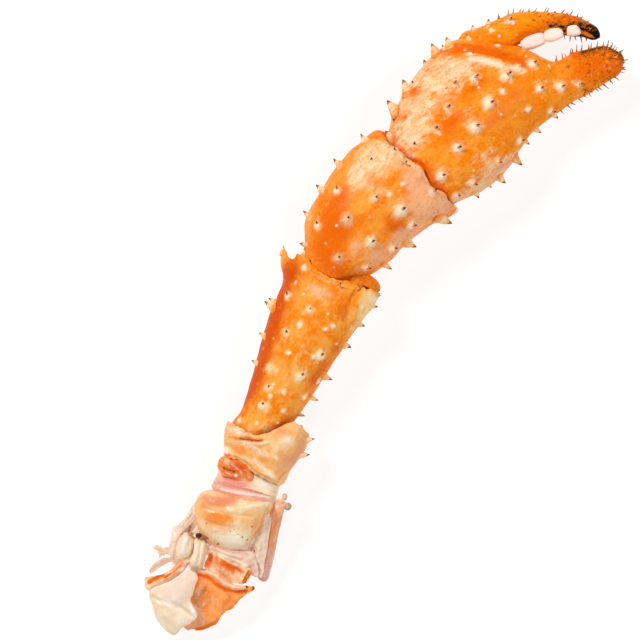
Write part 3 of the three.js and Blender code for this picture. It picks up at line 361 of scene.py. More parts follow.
# Lines on the outer face, by mask or as relief: width, strength, and the points they run through, in mm.
STROKES = {
    "palm": dict(
        dark=[(1.2, 0.75, [(93, 11.4), (99, 10), (103.4, 8.2), (106, 5.6), (107.4, 2.6), (107.8, -1)])],
        deep=[
            (2.4, 1.3, [(90, 11), (99, 9), (104, 6), (106.4, 1), (104, -4)]),
            (2.7, 1.2, [(38, 43), (44.4, 39.6), (50, 36.2), (56.6, 30.6), (63, 24.4), (68, 18)]),
            (4, 0.8, [(96, 6), (103, 2), (106, -2)]),
            (3.4, 0.95, [(-1, 14), (1, 9), (2.6, 3), (5.6, 0), (6, -4), (7, -9), (8, -13), (8, -20)]),
        ],
        wart=[
            # a pale ridge with a painted highlight along it
            (1.2, 0.75, [(46.6, 31.4), (50, 29.6), (54, 26.2), (57.4, 22.6)]),
            (1.2, 0.6, [(61, 20), (63.6, 17.6)]),
        ],
        pale=[
            # first line: the pale ridge, lightened further as a painted highlight
            (1.9, 0.9, [(43, 32.6), (48, 30.8), (54, 26.4), (59, 21.6), (65, 16)]),
            (0.8, 0.5, [(70, 24.6), (74, 20), (77, 15)]),
        ],
        relief=[
            (2.6, 1.5, [(38, 33), (50, 31.6), (57, 25.4), (66, 17), (72, 10)]),
            (2.4, -0.8, [(40, 39.4), (50, 36.4), (60, 28.4), (68, 23)]),
            (1.5, 0.7, [(60, 31.4), (66, 27.4), (71, 22.4), (75, 16.6), (79, 12)]),
            (2, 0.7, [(0.4, 13), (2.6, 9.6), (4.6, 5), (7.4, 1.4), (7.4, -4), (8.6, -9), (9.6, -13),
                (9, -20)]),
        ],
    ),
    "finger": dict(
        dark=[
            (1, 0.95, [(39, 6.6), (41.8, 6.9), (44.6, 5.6), (45.2, 3.6), (46, 5.8), (49.5, 6.7), (52, 5.6)]),
            (2.1, 1.3, [(51.6, 5.2), (55.8, 4), (59, 2.2), (60.6, -0.4)]),
            (0.85, 1, [(43.6, 2.6), (45.4, 1.8), (49, 1.4), (53, 0.6), (56, -0.7), (59.6, -1.5)]),
            (1.2, 0.34, [(54.4, 2.2), (57.4, 1.2)]), (0.8, 0.34, [(50, 8.6), (54, 7.4), (57, 6)]),
            (0.5, 0.3, [(24.4, 0), (29, 2.4), (34, 5)]),
        ],
        relief=[
            (0.9, 0.8, [(46.4, 6.6), (49.5, 7.3), (53, 6.6), (56.4, 5.2), (60, 3.2), (61, 0.6)]),
            (1.3, -1.4, [(53, 3), (56, 2), (59, 0.8)]),
        ],
        deep=[(1.6, 0.7, [(24, 0.6), (28, 2.6), (34, 5.4), (40, 7.4)])],
    ),
    "wrist": dict(
        relief=[
            (1.6, 0.7, [(57.4, 20), (58.6, 12), (57.6, 5), (58.4, -1), (56.4, -7), (54, -14), (51, -20)]),
            (1.8, -0.5, [(53.6, 20), (54.6, 12), (53.6, 5), (54.4, -1), (52.4, -7), (49, -13)]),
            (5, 0.7, [(20, 14), (32, 6), (46, 4)]),
        ],
        # the pale lip, with a painted highlight line along it
        pale=[(1.5, 0.9, [(59.4, 20), (60.6, 12), (59.6, 5), (60.4, -1), (58.4, -7), (56, -14), (53, -20)])],
        deep=[
            (0.5, 0.6, [(60.6, 19), (61.8, 12.4), (60.6, 8.6), (60.4, 3.4), (61.6, -0.6), (59, -5.1),
                (57.6, -10.7)]),
        ],
    ),
    "upper_arm": dict(
        relief=[
            (1.6, -1, [(80, -12.6), (75, -12), (69, -12.6), (64, -14)]),
            (2.6, 1.2, [(82, -19), (75, -19.4), (67, -18.4)]),
            (1.6, 0.8, [(76.4, -9), (75, -3), (74, 3), (74.6, 9), (77, 14)]),
            (1.9, -0.6, [(72.4, -9), (71, -3), (70, 3), (70.6, 9), (73, 14)]),
            (7, 0.9, [(10, 4), (30, 1), (50, 1), (66, 3)]),
        ],
        deep=[
            (1.6, 0.4, [(80, -11), (75, -10.4), (69, -11), (64, -12)]),
            (0.9, 0.7, [(73.4, -23), (73.6, -19), (72, -15)]),
        ],
        dark=[
            (0.5, 0.5, [(80.6, -12.8), (78.6, -12.6)]),
            # second line: a faint darkening along the left edge, partly painted shade
            (2.2, 0.22, [(69.6, 23), (62, 20.6), (50, 18.6), (36, 16.4), (14, 12)]),
        ],
        pale=[(0.8, 0.45, [(78.6, -9), (77, -3), (76.4, 3), (76.6, 9), (79, 14)])],
    ),
    "arm_base": dict(
        relief=[
            (0.9, -1.5, [(13, 14.4), (13.5, 12.3), (15.6, 7.6), (16.2, 3.4), (17.4, 0.6)]),
            (1.3, 0.8, [(16.4, 15.6), (17.4, 11), (17.4, 6.6)]),
            (0.9, 0.8, [(10.8, 16), (12.6, 12), (13.7, 9), (13.9, 5.6), (14.9, 1), (17, -2)]),
            (1.3, -0.8, [(9, 14), (10.6, 10), (11.4, 5), (11, 0)]),
            (1.3, 1.1, [(6.6, 15), (7, 11), (7.4, 6.7), (6.7, 2.6), (4.9, -0.6), (3.9, -4), (3.8, -8),
                (3, -12)]),
            (0.8, -0.5, [(8.9, 8), (8.6, 3), (6.6, -1), (6, -8)]), (3, 0.6, [(26, -4), (20, -8), (12, -9)]),
        ],
        dark=[
            # first line: the crease behind the rim, partly darkened as painted shade where the upper arm's
            # end meets it
            (0.36, 0.6, [(14.6, 10.3), (15.8, 6.4), (16.6, 3.4), (17.3, 0.8)]),
            (0.24, 0.4, [(12.4, 0.8), (12.6, 2)]),
        ],
        deep=[
            # first line: the same crease, partly painted shade
            (0.8, 0.8, [(13.4, 12.6), (15.4, 7.4), (16, 3.4), (17.4, 0.2)]),
            (1.1, 0.8, [(16, 6.4), (12, 7.4)]), (0.8, 0.6, [(3.4, -12), (10, -15.6), (18, -17.4)]),
        ],
        wart=[
            # painted highlights along the roll and the ridges
            (0.8, 0.7, [(14.4, 6), (15.6, 1), (17.6, -1.8)]), (1.5, 0.7, [(7, 14.6), (7.2, 12.6)]),
            (1.3, 0.45, [(7.6, 6), (6.8, 1.4)]), (1.5, 0.6, [(8, 1), (6.2, -3.6), (4.9, -7), (4.2, -10)]),
        ],
        pale=[(2.2, 0.9, [(19, 12), (17.6, 15)]), (1.6, 0.8, [(13.4, 7), (12, 0), (12.6, -8)])],
    ),
    "hip": dict(
        wart=[
            (0.8, 0.5, [(18, 6.6), (19.6, 2), (21.6, -3), (24.4, -10.6)]),
            (0.5, 0.5, [(20.6, 4), (22.6, -2), (24.6, -9)]),
            # a painted highlight along the proximal end
            (1.3, 0.8, [(3, 7.4), (2, 3.6), (2, 0), (4, -3.4)]),
        ],
        pale=[(2.2, 0.9, [(17.6, 6.6), (19, 2), (21, -3), (24.4, -11)])],
        relief=[
            (1.3, 0.7, [(17.6, 7), (19.2, 2), (21, -3), (24, -11)]),
            (0.7, -0.7, [(22, 15), (21.6, 8), (21.8, 2), (23, -4), (25, -11)]),
            (0.8, -0.4, [(16, 18), (15.6, 10), (15.8, 3), (16.6, -4)]),
            (1.2, 0.4, [(12, 16), (11.6, 8), (12, 2)]),
            (0.9, -0.7, [(3.4, -4), (8, -6), (14, -8.6), (20, -11)]),
        ],
        # a painted shadow line where the hip meets the joint skin
        dark=[(0.3, 0.24, [(24.2, 9.7), (23.4, 2.8), (24, -5), (25.2, -12)])],
        rosy=[(1.2, 0.5, [(1.6, 12), (-0.6, 5), (0, -1), (4, -5)])],
        deep=[(0.5, 0.7, [(22.6, -10.3), (17.9, -9.9), (13.3, -9.4), (10.3, -8.1), (6.7, -6)])],
    ),
    "hip_skin": dict(
        relief=[
            (0.7, -0.8, [(1.6, 15), (1.4, 9), (2.2, 2.4), (2.4, -6), (2.6, -12)]),
            (0.8, 0.7, [(4, 14), (3.8, 8), (3.6, 2.4), (3, -6), (2.8, -12)]),
            (0.7, 0.6, [(-1.4, 14), (-0.6, 8), (0.6, 1), (1.8, -7)]),
            (0.9, -0.7, [(9.6, 0), (5, 0.4), (3, 2)]),
        ],
        dark=[(0.24, 0.36, [(3.4, 1), (3, -5), (2.8, -11)])],
        rosy=[(0.7, 1, [(2.6, 14), (2.8, 4), (2.8, -6)])],
        # a painted highlight along the fold's ridge
        wart=[(0.6, 0.7, [(0, 12), (0.4, 6), (1, 0), (1.8, -6), (2.4, -11)])],
        deep=[
            (0.7, 0.9, [(13, 8), (12, 3), (10.6, -1), (10, -6), (9, -11)]), (0.8, 0.8, [(5.2, 8), (5.3, 5)]),
        ],
    ),
    "hip_knob": dict(
        relief=[
            (1, 1, [(2, 2), (4.3, 0.8), (7.8, 2), (11.4, -0.4), (13.9, -3.4), (14, -6)]),
            (0.8, -1.4, [(-1, -1.6), (2.8, -2.6), (6.3, -3)]),
            (0.7, -0.7, [(4, -1), (8, -0.4), (10.4, -2.4), (11.4, -5)]),
            (0.8, 0.7, [(1, -5), (4, -4.8), (7, -4.6)]),
        ],
        dark=[(0.4, 0.8, [(0, -1.8), (2.8, -2.7), (6, -3)])],
        deep=[(0.9, 1, [(4, 2.6), (8, 3.4), (12, 1)])],
        pale=[(0.8, 0.6, [(5, 0), (8.6, -1.6), (10, -4)])],
    ),
}

# Sheets and cushions at the shoulder, by node and in the stations' frame: the height at the middle, the
# slopes along X and Y, the bend (below 0 the edges hang), the thickness, how soon it thins towards the edge
# (fullness), how ragged and crumpled it is, the masks all over (base) and at the rim, the outline, and
# lines as in STROKES.
LEAVES = {
    "torn_plate": [dict(
        height=11.6, slope=(0.24, 0.02), bend=-0.006, thick=1.7, ragged=0.45, crumple=0.6, rim={"pale": 0.5},
        outline=[
            (-138.8, -15.6), (-136.4, -18.8), (-134.8, -22), (-134.2, -25.4), (-134.6, -29), (-134, -33),
            (-132.4, -37), (-130.6, -39.6), (-129.4, -41.8), (-130.5, -42.5), (-134.2, -41.1),
            (-137.6, -40.2), (-142.4, -39.9), (-145.7, -38.4), (-148.8, -37.9), (-152.1, -38.1),
            (-155.5, -37.2), (-158.5, -35.5), (-160.2, -34), (-161.9, -30.8), (-163.8, -29), (-162, -25),
            (-157, -24), (-153, -20), (-149, -17), (-144, -14.6),
        ],
        relief=[
            (1, 1.5, [(-138.6, -17), (-136.6, -21), (-135.8, -26), (-136.4, -30), (-135.5, -34.2),
                (-132.8, -38.4)]),
            (1, -1.3, [(-140.4, -18.5), (-138.9, -23), (-139, -28), (-138.6, -32), (-137, -36),
                (-134, -39.6)]),
            (1.4, 0.6, [(-140, -26), (-147, -27), (-155, -31)]),
            (1.1, -0.5, [(-141, -32), (-147, -33), (-152, -36)]),
        ],
        pale=[
            (1.2, 2, [(-138.2, -18), (-136.1, -21.3), (-135.4, -26.3), (-136.1, -30.3), (-135.3, -34.2),
                (-132.8, -38)]),
            (2.2, 0.8, [(-144, -22.4), (-149, -23.6), (-153, -25)]),
            # these two lines: pale shell, made lighter as painted light where the meat flap's shadow falls
            (2, 0.7, [(-149, -25), (-153, -29), (-157, -33)]),
            (1.8, 1, [(-153, -26), (-156, -27.6), (-159.6, -28.4)]),
            (1.6, 0.5, [(-144, -29), (-150, -28), (-154, -29)]),
        ],
        wart=[(0.6, 0.5, [(-136.2, -22), (-135.5, -26), (-136, -30), (-134.8, -34.4)])],
        deep=[
            (0.9, 1, [(-140, -18.6), (-138.4, -23), (-138.9, -28), (-138.5, -32), (-136.6, -36),
                (-133, -40)]),
            (1.2, 0.8, [(-141, -19), (-144.6, -20.6)]),
            (1.1, 0.9, [(-152, -37.6), (-158, -35), (-162, -31), (-163.6, -29)]),
        ],
        rosy=[(2, 0.9, [(-154, -31), (-158, -31), (-161, -29)])],
        dark=[(0.8, 0.6, [(-129.8, -41.6), (-131, -42.4)]), (0.4, 0.9, [(-131.4, -39), (-131.7, -39.4)])],
    )],
    "meat_flap": [dict(
        height=17, slope=(0.27, 0), bend=-0.011, thick=3.2, ragged=0.1, crumple=0.3, rim={"wart": 0.25},
        outline=[
            (-158.4, -5.3), (-151, -9.3), (-145.2, -11.8), (-141.3, -13.3), (-139.9, -16.7), (-141.5, -19.1),
            (-144.2, -19.9), (-148.6, -21.5), (-151.3, -22.4), (-153.6, -26.9), (-155.9, -29.1),
            (-159.9, -28.2), (-163.3, -26.8), (-168, -26.2), (-169.3, -23.4), (-168.8, -18.5),
            (-166.8, -13.7), (-163.6, -9.7), (-161.1, -6.2),
        ],
        pale=[(7, 1, [(-144, -15), (-150, -14), (-154, -14)])],
        wart=[
            (1.2, 0.9, [(-152.6, -23), (-155, -26.6), (-156.4, -28.4)]),
            (0.8, 0.7, [(-158.4, -9), (-157.6, -13), (-157.4, -16)]),
        ],
        relief=[
            (1.2, -0.9, [(-161.4, -6.2), (-160, -9.7), (-158.7, -13.3), (-157.3, -17.7), (-157, -22.9),
                (-156.6, -28.8)]),
            (3.4, 0.8, [(-144, -15), (-152, -16), (-163, -19)]),
        ],
        deep=[(1.6, 0.35, [(-162, -10), (-161, -15), (-161, -21)])],
    )],
    "inner_flap": [dict(
        height=13.4, slope=(0.2, 0.06), bend=0.014, thick=1.5, ragged=0.35, crumple=0.8,
        base={"pale": 0.9, "rosy": 0.25},
        outline=[
            (-127.9, -17.6), (-130.2, -16.7), (-133.4, -17.3), (-135.8, -18.6), (-136.6, -22.4),
            (-136.7, -26.8), (-136.5, -30), (-133.4, -33.6), (-131.2, -37.3), (-127.3, -37.8),
            (-124.1, -35.8), (-124.9, -33.3), (-125.3, -30.3), (-127, -26.4), (-127.2, -23), (-127.2, -19.8),
        ],
        wart=[
            (1.1, 0.7, [(-133.6, -21), (-134.8, -24), (-134.6, -30)]),
            (0.7, 0.9, [(-127.6, -20), (-126.8, -25), (-125.4, -29.6)]),
        ],
        deep=[
            (1.5, 0.9, [(-129.4, -17.4), (-132, -18.6), (-134.2, -18.9)]),
            (1.1, 0.85, [(-128.6, -22.6), (-128.6, -26.4), (-127.4, -30.4), (-127.2, -32.6)]),
            (0.9, 0.6, [(-129, -20), (-130.8, -22.6), (-131.6, -25)]),
            (2.2, 1, [(-129.4, -24), (-129.4, -29)]), (0.9, 1.2, [(-125.4, -36), (-130.4, -36.8)]),
        ],
        dark=[
            (0.8, 0.34, [(-129.6, -18), (-131.4, -18.8)]),
            (0.35, 0.3, [(-128.3, -24), (-128, -27), (-126.9, -31)]),
            (0.35, 0.56, [(-125, -35.4), (-130.6, -36.2)]), (0.3, 0.5, [(-125.2, -36.8), (-130.8, -37.3)]),
            (0.3, 0.5, [(-126.4, -35.4), (-126.6, -37)]), (0.3, 0.46, [(-128.6, -35.6), (-128.8, -37.2)]),
        ],
        relief=[
            (1.1, 1.4, [(-128, -18.6), (-130, -21.4), (-131.4, -25), (-132, -31)]),
            (1.2, -1.2, [(-131, -19), (-133.4, -21), (-133.8, -26), (-134.4, -31)]),
            (1, 1.2, [(-128, -23), (-127.8, -28), (-126.8, -33)]),
        ],
    )],
    "side_plate": [dict(
        height=12.6, slope=(0.36, 0.06), bend=-0.004, thick=2.4, ragged=0.2, crumple=0.5,
        rim={"pale": 0.8, "rosy": 0.5},
        outline=[
            (-90.4, -27), (-90.6, -30.6), (-95.6, -32.8), (-99.7, -34.6), (-104.8, -36.8), (-109.3, -39),
            (-114.2, -41.4), (-119.3, -43.4), (-122.8, -44.8), (-125.2, -44.2), (-126, -41.8), (-124, -38),
            (-119.1, -35.6), (-114.9, -34.4), (-110, -31.8), (-104.4, -29.2), (-99.3, -27.4), (-95.6, -26.6),
        ],
        deep=[(1.3, 0.7, [(-97, -30.4), (-106, -34), (-113, -37.6)])],
        rosy=[(3.2, 1.3, [(-114, -38), (-119, -40), (-124, -42.6)])],
        wart=[
            (1.6, 0.5, [(-118, -38), (-124, -40.6)]),
            (0.8, 0.5, [(-116, -37.6), (-120, -39.4), (-124, -41)]),
        ],
        pale=[(1, 0.8, [(-94, -28.4), (-104, -31.4), (-112, -35)]), (0.9, 0.8, [(-114, -41), (-122, -44)])],
        relief=[
            (1.3, 0.9, [(-96, -30), (-106, -34), (-116, -39), (-123, -42)]),
            (0.8, -0.6, [(-110, -37.6), (-118, -41.4)]),
        ],
        dark=[(0.5, 0.3, [(-125.2, -41.6), (-125, -43.8)])],
    )],
    "side_web": [dict(
        height=15.4, slope=(0.12, 0.1), bend=-0.004, thick=0.9, ragged=0.3, crumple=0.6,
        outline=[
            (-95, -26.4), (-99, -29), (-104.9, -32.3), (-111.2, -35.8), (-116.8, -38.4), (-121.6, -41),
            (-124.6, -41.6), (-124.2, -37.5), (-123.8, -33.9), (-122.7, -30.9), (-122.6, -27),
            (-119.2, -25.6), (-113.3, -25.4), (-108, -24), (-102, -22.6), (-97, -22),
        ],
        relief=[
            (0.9, 0.7, [(-98, -26), (-108, -30), (-118, -35)]),
            (0.9, -0.7, [(-104, -26), (-112, -29), (-121, -32)]),
        ],
        rosy=[
            (2.4, 0.9, [(-116, -31), (-121, -34), (-123, -38)]), (0.8, 0.6, [(-100, -28.6), (-110, -33.6)]),
        ],
        wart=[(0.7, 0.6, [(-106, -29), (-114, -32)])],
        dark=[(0.3, 0.35, [(-114.6, -29.6), (-115.2, -30)]), (0.3, 0.35, [(-116.4, -32), (-116.8, -32.6)])],
    ), dict(
        height=14.4, slope=(0.34, 0.1), bend=0, thick=1.2, ragged=0.3, crumple=0.5, base={"rosy": 0.5},
        outline=[
            (-128.6, -13), (-126, -14.6), (-123.6, -19), (-122.4, -23), (-120.6, -27), (-117.4, -31.6),
            (-119.4, -35.4), (-122.4, -39), (-125.4, -40.2), (-126.2, -36.6), (-126.6, -32.6), (-127.6, -29),
            (-128.8, -24.6), (-129.6, -20), (-130.6, -16.4),
        ],
        wart=[(0.9, 0.95, [(-127.4, -19), (-126, -23), (-124.8, -28), (-124, -33)])],
        rosy=[
            (1.8, 0.9, [(-121.6, -33), (-123.4, -38)]), (0.8, 0.9, [(-128, -15), (-126, -19)]),
            (1.1, 1, [(-124.4, -19), (-122.6, -25), (-119.6, -30)]),
        ],
        deep=[(0.5, 0.6, [(-123.4, -20.6), (-121.6, -25.4)])],
        relief=[(0.7, 0.7, [(-126, -19), (-124.6, -24), (-122.6, -29)])],
    )],
    "rim_strip": [dict(
        height=13, slope=(0.2, 0), bend=-0.004, thick=1.8, ragged=0.3, crumple=0.6, base={"pale": 0.95},
        outline=[
            (-156.2, 0), (-154.7, -0.5), (-153.4, -3.4), (-149.6, -5.1), (-145, -7.2), (-140.4, -7.7),
            (-136.1, -8.4), (-134.4, -9.9), (-137.5, -11.9), (-142.6, -11.9), (-147.5, -10.8), (-152, -8.6),
            (-157.6, -5.4), (-159.3, -4.8), (-159, -2.3),
        ],
        deep=[
            (1.1, 1.1, [(-156, -2.4), (-152.6, -4), (-150, -5.4)]),
            (0.6, 1.1, [(-150, -6.8), (-146, -8.4), (-140, -9.2)]),
        ],
        dark=[(0.5, 0.28, [(-154.6, -2.6), (-151, -4.4), (-149.4, -5.4)])],
        wart=[
            (0.9, 0.6, [(-158.4, -2), (-157.6, -4.4)]),
            (0.7, 0.9, [(-157.6, -4.8), (-151.8, -7.8), (-147.3, -9.9), (-142.3, -10.8), (-138, -11)]),
        ],
        relief=[
            (0.7, 0.9, [(-157, -4.4), (-150, -8), (-144, -10)]),
            (0.6, -0.7, [(-154, -3), (-148, -6.4), (-140, -8.6)]),
        ],
        rosy=[(0.9, 0.9, [(-146, -7.6), (-141, -8.6), (-136.6, -9.4)])],
    )],
    "tatter_wide": [dict(
        height=11.8, slope=(0.2, -0.1), bend=0.006, thick=0.8, ragged=0.6, crumple=0.9,
        outline=[
            (-111, -1), (-113, 1.6), (-115.8, 2.4), (-119.1, 2.2), (-122.4, 1.6), (-126.4, 2.4),
            (-130.5, 3.3), (-135, 1.3), (-139.1, -0.9), (-142, -4.4), (-143.1, -7), (-140.6, -8), (-137, -7),
            (-132.6, -6), (-127.8, -7), (-122.9, -8), (-116.7, -4),
        ],
        relief=[
            (0.8, 1.1, [(-114, 0), (-122, -2), (-130, -1), (-138, -3)]),
            (0.8, -0.9, [(-113, -2), (-122, -4.6), (-130, -4), (-139, -6)]),
            (0.6, 0.7, [(-120, 1), (-128, 1), (-134, -1)]),
        ],
        rosy=[(0.8, 0.9, [(-118, -1.4), (-126, -1), (-134, -1.4), (-141, -5)])],
        wart=[(0.6, 0.7, [(-116, 0.6), (-126, 0.8), (-134, 0.4)])],
        dark=[(0.5, 0.4, [(-124.6, -2.4), (-127.4, -3.4)])],
    )],
    "tatter_thin": [dict(
        height=7.4, slope=(0.2, 0), bend=0.01, thick=0.9, ragged=0.3, crumple=0.4,
        outline=[
            (-152.6, -0.6), (-151.7, 0.8), (-147.6, 0.7), (-144, -0.9), (-141, -4.2), (-140.6, -6.8),
            (-142.5, -5), (-147.5, -2.6), (-151, -1.5),
        ],
        rosy=[(0.7, 0.7, [(-144, -2), (-151, 0)])],
    ), dict(
        height=8.6, slope=(0.2, 0), bend=-0.03, thick=1, ragged=1, crumple=1, base={"deep": 0.5},
        outline=[
            (-142.6, 5.6), (-140.4, 4), (-140.3, 1.6), (-138.4, 0), (-140.6, -2.2), (-142.2, -0.6),
            (-144.4, 0.4), (-142.9, 2.4),
        ],
    )],
    "meat_lump": [dict(
        height=12.4, slope=(0.2, 0), bend=-0.02, thick=13.6, fullness=3, ragged=0.16, crumple=0.4,
        outline=[
            (-128, -2.6), (-127.4, -6.6), (-130, -9), (-133.7, -10.4), (-137.2, -10), (-140.2, -7.7),
            (-138, -4), (-133.6, -2), (-130, -1.7),
        ],
        wart=[(1.6, 0.7, [(-131, -4.4), (-136, -6.4)])],
        deep=[(0.8, 0.7, [(-128.6, -6.4), (-132.6, -9), (-136.6, -9.4)])],
        relief=[(1.4, 0.6, [(-129, -4), (-135, -5), (-139, -7)]), (0.7, -0.4, [(-129, -6), (-134, -7.6)])],
    )],
    "meat_strand": [dict(
        height=12.8, slope=(0.18, 0), bend=-0.016, thick=12.4, fullness=3, ragged=0.2, crumple=0.5,
        base={"rosy": 0.25},
        outline=[
            (-127, -6.4), (-125.4, -11.1), (-128.6, -15), (-133.4, -17), (-137.7, -18), (-141, -15),
            (-138.4, -11.6), (-132.7, -9.6),
        ],
        relief=[
            (1.2, 0.6, [(-127, -9), (-133, -12), (-139, -14)]),
            (0.6, -0.5, [(-127.4, -10.6), (-133, -13.8), (-138.6, -16)]),
            (0.6, 0.8, [(-128, -12.6), (-133, -15.4)]),
        ],
        rosy=[(1, 1, [(-128, -13), (-134, -16), (-138, -17)])],
        wart=[(0.7, 0.8, [(-129, -9.4), (-136, -12)])],
        deep=[(1, 0.7, [(-127, -8.4), (-130, -10)])],
    )],
}
LUMPS = {  # small lumps on them: middle, turn, half sizes and masks
    "side_plate": [
        ((-91.2, -32.4, 17.4), 20, (1.9, 1.5, 1.5), {"dark": 0.3, "pale": 0.8}),
        ((-92.4, -30.4, 17.4), -30, (2, 1.5, 1.4), {"rosy": 1.0}),
        ((-88.6, -28.6, 17.6), 40, (1.7, 1.2, 1.2), {"rosy": 1.0}),
    ],
    "meat_strand": [
        ((-125.6, -7.8, 19.2), -60, (1.5, 1.2, 1.1), {"dark": 0.76}),
        ((-124.9, -10, 19.1), -72, (2.4, 0.6, 0.8), {"dark": 0.44}),
        ((-127.2, -4.6, 18.8), -50, (1.3, 0.9, 0.8), {"dark": 0.3}),
    ],
}

# ---------------------------------------------------------------- finishes

SHELL_INPUTS = {  # the mottled shell's colours, turn, and strengths
    "Light": (253, 166, 64), "Orange": (250, 132, 10), "Deep": (240, 102, 2), "Cream": (250, 209, 156),
    # the white of the warts is also the colour of the painted highlights
    "Rosy": (246, 168, 124), "Wart": (254, 236, 204), "Tan": (184, 100, 22), "Dark": (56, 28, 12),
    "Turn": 0.0, "Specks": 1.0, "Streaks": 1.7, "Grain": 1.0,
}
BUMP, BUMP_DEPTH = 0.26, 0.0006  # its strength, and its height in metres
GLOSS, COAT_ROUGHNESS = 0.04, 0.12
SOFT_DEPTH = 0.002  # how far light goes into the flesh, in metres
# Each finish: its slot, its nodes, the segment that its streaks run along, the shader's own values, and
# what it changes of SHELL_INPUTS.
FINISHES = {
    "palm_shell": ("shell", ["palm"], "palm", {}, dict(Light=(252, 162, 50), Grain=0.8, Specks=1.7)),
    "finger_shell": ("shell", ["finger"], "finger", {}, dict(
        Light=(252, 158, 24), Orange=(250, 134, 6), Deep=(236, 100, 4), Wart=(253, 234, 220),
        Dark=(24, 20, 22), Specks=0.3)),
    "wrist_shell": ("shell", ["wrist"], "wrist", {}, dict(
        Orange=(250, 132, 18), Deep=(236, 104, 8), Rosy=(249, 184, 140), Grain=0.7, Streaks=1.1)),
    "upper_arm_shell": ("shell", ["upper_arm"], "upper_arm", {}, dict(
        # the darker Deep is partly painted shade along the left edge
        Light=(253, 170, 72), Deep=(218, 78, 0), Cream=(252, 212, 144), Rosy=(248, 184, 136), Grain=0.3)),
    "joint_knob": ("knob", ["wrist_knob", "elbow_knob"], "elbow_knob", {}, dict(Specks=0.2)),
    "raw_knob": ("knob", ["hip_knob"], "hip_knob", dict(coat=0.5), dict(
        Light=(248, 146, 66), Orange=(240, 112, 44), Deep=(216, 66, 16), Cream=(250, 196, 140),
        Rosy=(234, 132, 112), Wart=(254, 238, 224), Specks=0.0, Grain=0.4)),
    "arm_base_shell": ("pale_shell", ["arm_base"], "arm_base", dict(coat=0.2), dict(
        Light=(252, 198, 134), Orange=(249, 176, 102), Deep=(240, 140, 54), Cream=(253, 220, 178),
        Rosy=(236, 160, 116), Wart=(254, 238, 212), Specks=0.2, Grain=0.12)),
    "hip_shell": ("pale_shell", ["hip"], "hip", dict(coat=0.3), dict(
        Light=(253, 208, 152), Orange=(250, 188, 124), Deep=(248, 140, 48), Cream=(253, 224, 182),
        Rosy=(238, 144, 104), Wart=(255, 240, 210), Specks=0.0, Grain=0.15)),
    "joint_skin": ("skin", ["hip_skin"], "hip_skin", dict(coat=0.4), dict(
        Light=(246, 202, 178), Orange=(238, 168, 142), Deep=(232, 108, 54), Cream=(253, 226, 188),
        Rosy=(234, 150, 136), Wart=(254, 238, 228), Specks=0.0, Grain=0.0)),
    "torn_shell": ("torn_shell", ["torn_plate", "inner_flap", "rim_strip"], "hip", dict(coat=0.15), dict(
        Light=(252, 168, 98), Orange=(250, 142, 60), Deep=(238, 104, 12), Cream=(252, 204, 162),
        Rosy=(246, 178, 140), Specks=0.3, Grain=0.5)),
    "torn_skin": ("skin", ["side_web", "tatter_wide", "tatter_thin"], "hip", dict(coat=0.3, thin=0.86), dict(
        Light=(254, 234, 212), Orange=(252, 218, 192), Deep=(250, 202, 150), Cream=(254, 234, 204),
        Rosy=(234, 182, 166), Specks=0.8, Grain=0.5)),
    "crab_meat": ("meat", ["meat_flap", "meat_lump", "meat_strand"], "hip", dict(coat=0.3, soft=0.3), dict(
        Light=(251, 232, 204), Orange=(246, 218, 184), Deep=(232, 196, 150), Cream=(244, 220, 202),
        Rosy=(244, 206, 176), Wart=(253, 247, 236), Tan=(170, 96, 40), Dark=(70, 26, 10),
        Specks=0.0, Grain=0.0, Streaks=0.9)),
    "pink_shell": ("pink_shell", ["side_plate"], "hip", dict(coat=0.3), dict(
        Light=(240, 176, 138), Orange=(236, 158, 114), Deep=(230, 136, 80), Cream=(246, 206, 184),
        Rosy=(236, 186, 172), Tan=(160, 150, 112), Dark=(120, 106, 76), Specks=0.0, Grain=0.4)),
}

# ---------------------------------------------------------------- stage

VIEW_TURN = math.radians(53.5)  # how far +X stands above the view's horizontal
VIEW_MIDDLE = (-0.01255, 0.00638)  # the point of the table in the middle of the view
VIEW_WIDTH = 0.288  # how much of the leg's level the view shows
VIEW_LEVEL = 0.018  # the height at which the width is measured
VIEW_DISTANCE = 3.0  # from the table up to the camera
SENSOR = 36.0  # width of the camera's sensor in mm
LAMPS = (  # name; right and up as the view shows them, and height, in metres; size and power
    ("key", -1.3, 1.4, 1.8, 0.9, 49.0),
    ("fill", 1.7, 0.5, 1.6, 1.2, 23.0),
    ("low", -0.4, -1.8, 1.5, 1.2, 20.0),
)
WORLD_LIGHT = 0.12
FLOOR_SIZE, FLOOR_COLOUR, FLOOR_GLOW = 6.0, 0.26, 0.78

# ---------------------------------------------------------------- shapes


def soft_step(x, low, high):
    """0 below low, 1 above high, and 3t^2 - 2t^3 between them."""
    t = np.clip((x - low) / (high - low), 0, 1)
    return t * t * (3 - 2 * t)


def bent(value, roundness):
    """A sine or cosine raised to 2 / roundness with its sign kept, which squares an ellipse's corners."""
    return np.sign(value) * np.abs(value) ** (2 / roundness)


def unit(vectors):
    """Vectors divided by their lengths."""
    return vectors / np.maximum(np.linalg.norm(vectors, axis=-1, keepdims=True), 1e-9)


def softened(values, reach):
    """The mean of each value's neighbours round a ring, with weights that fall evenly to none past reach."""
    weights = reach + 1 - np.abs(np.arange(-reach, reach + 1))
    values = np.concatenate([values[-reach:], values, values[:reach]])
    return np.convolve(values, weights / weights.sum(), mode="valid")


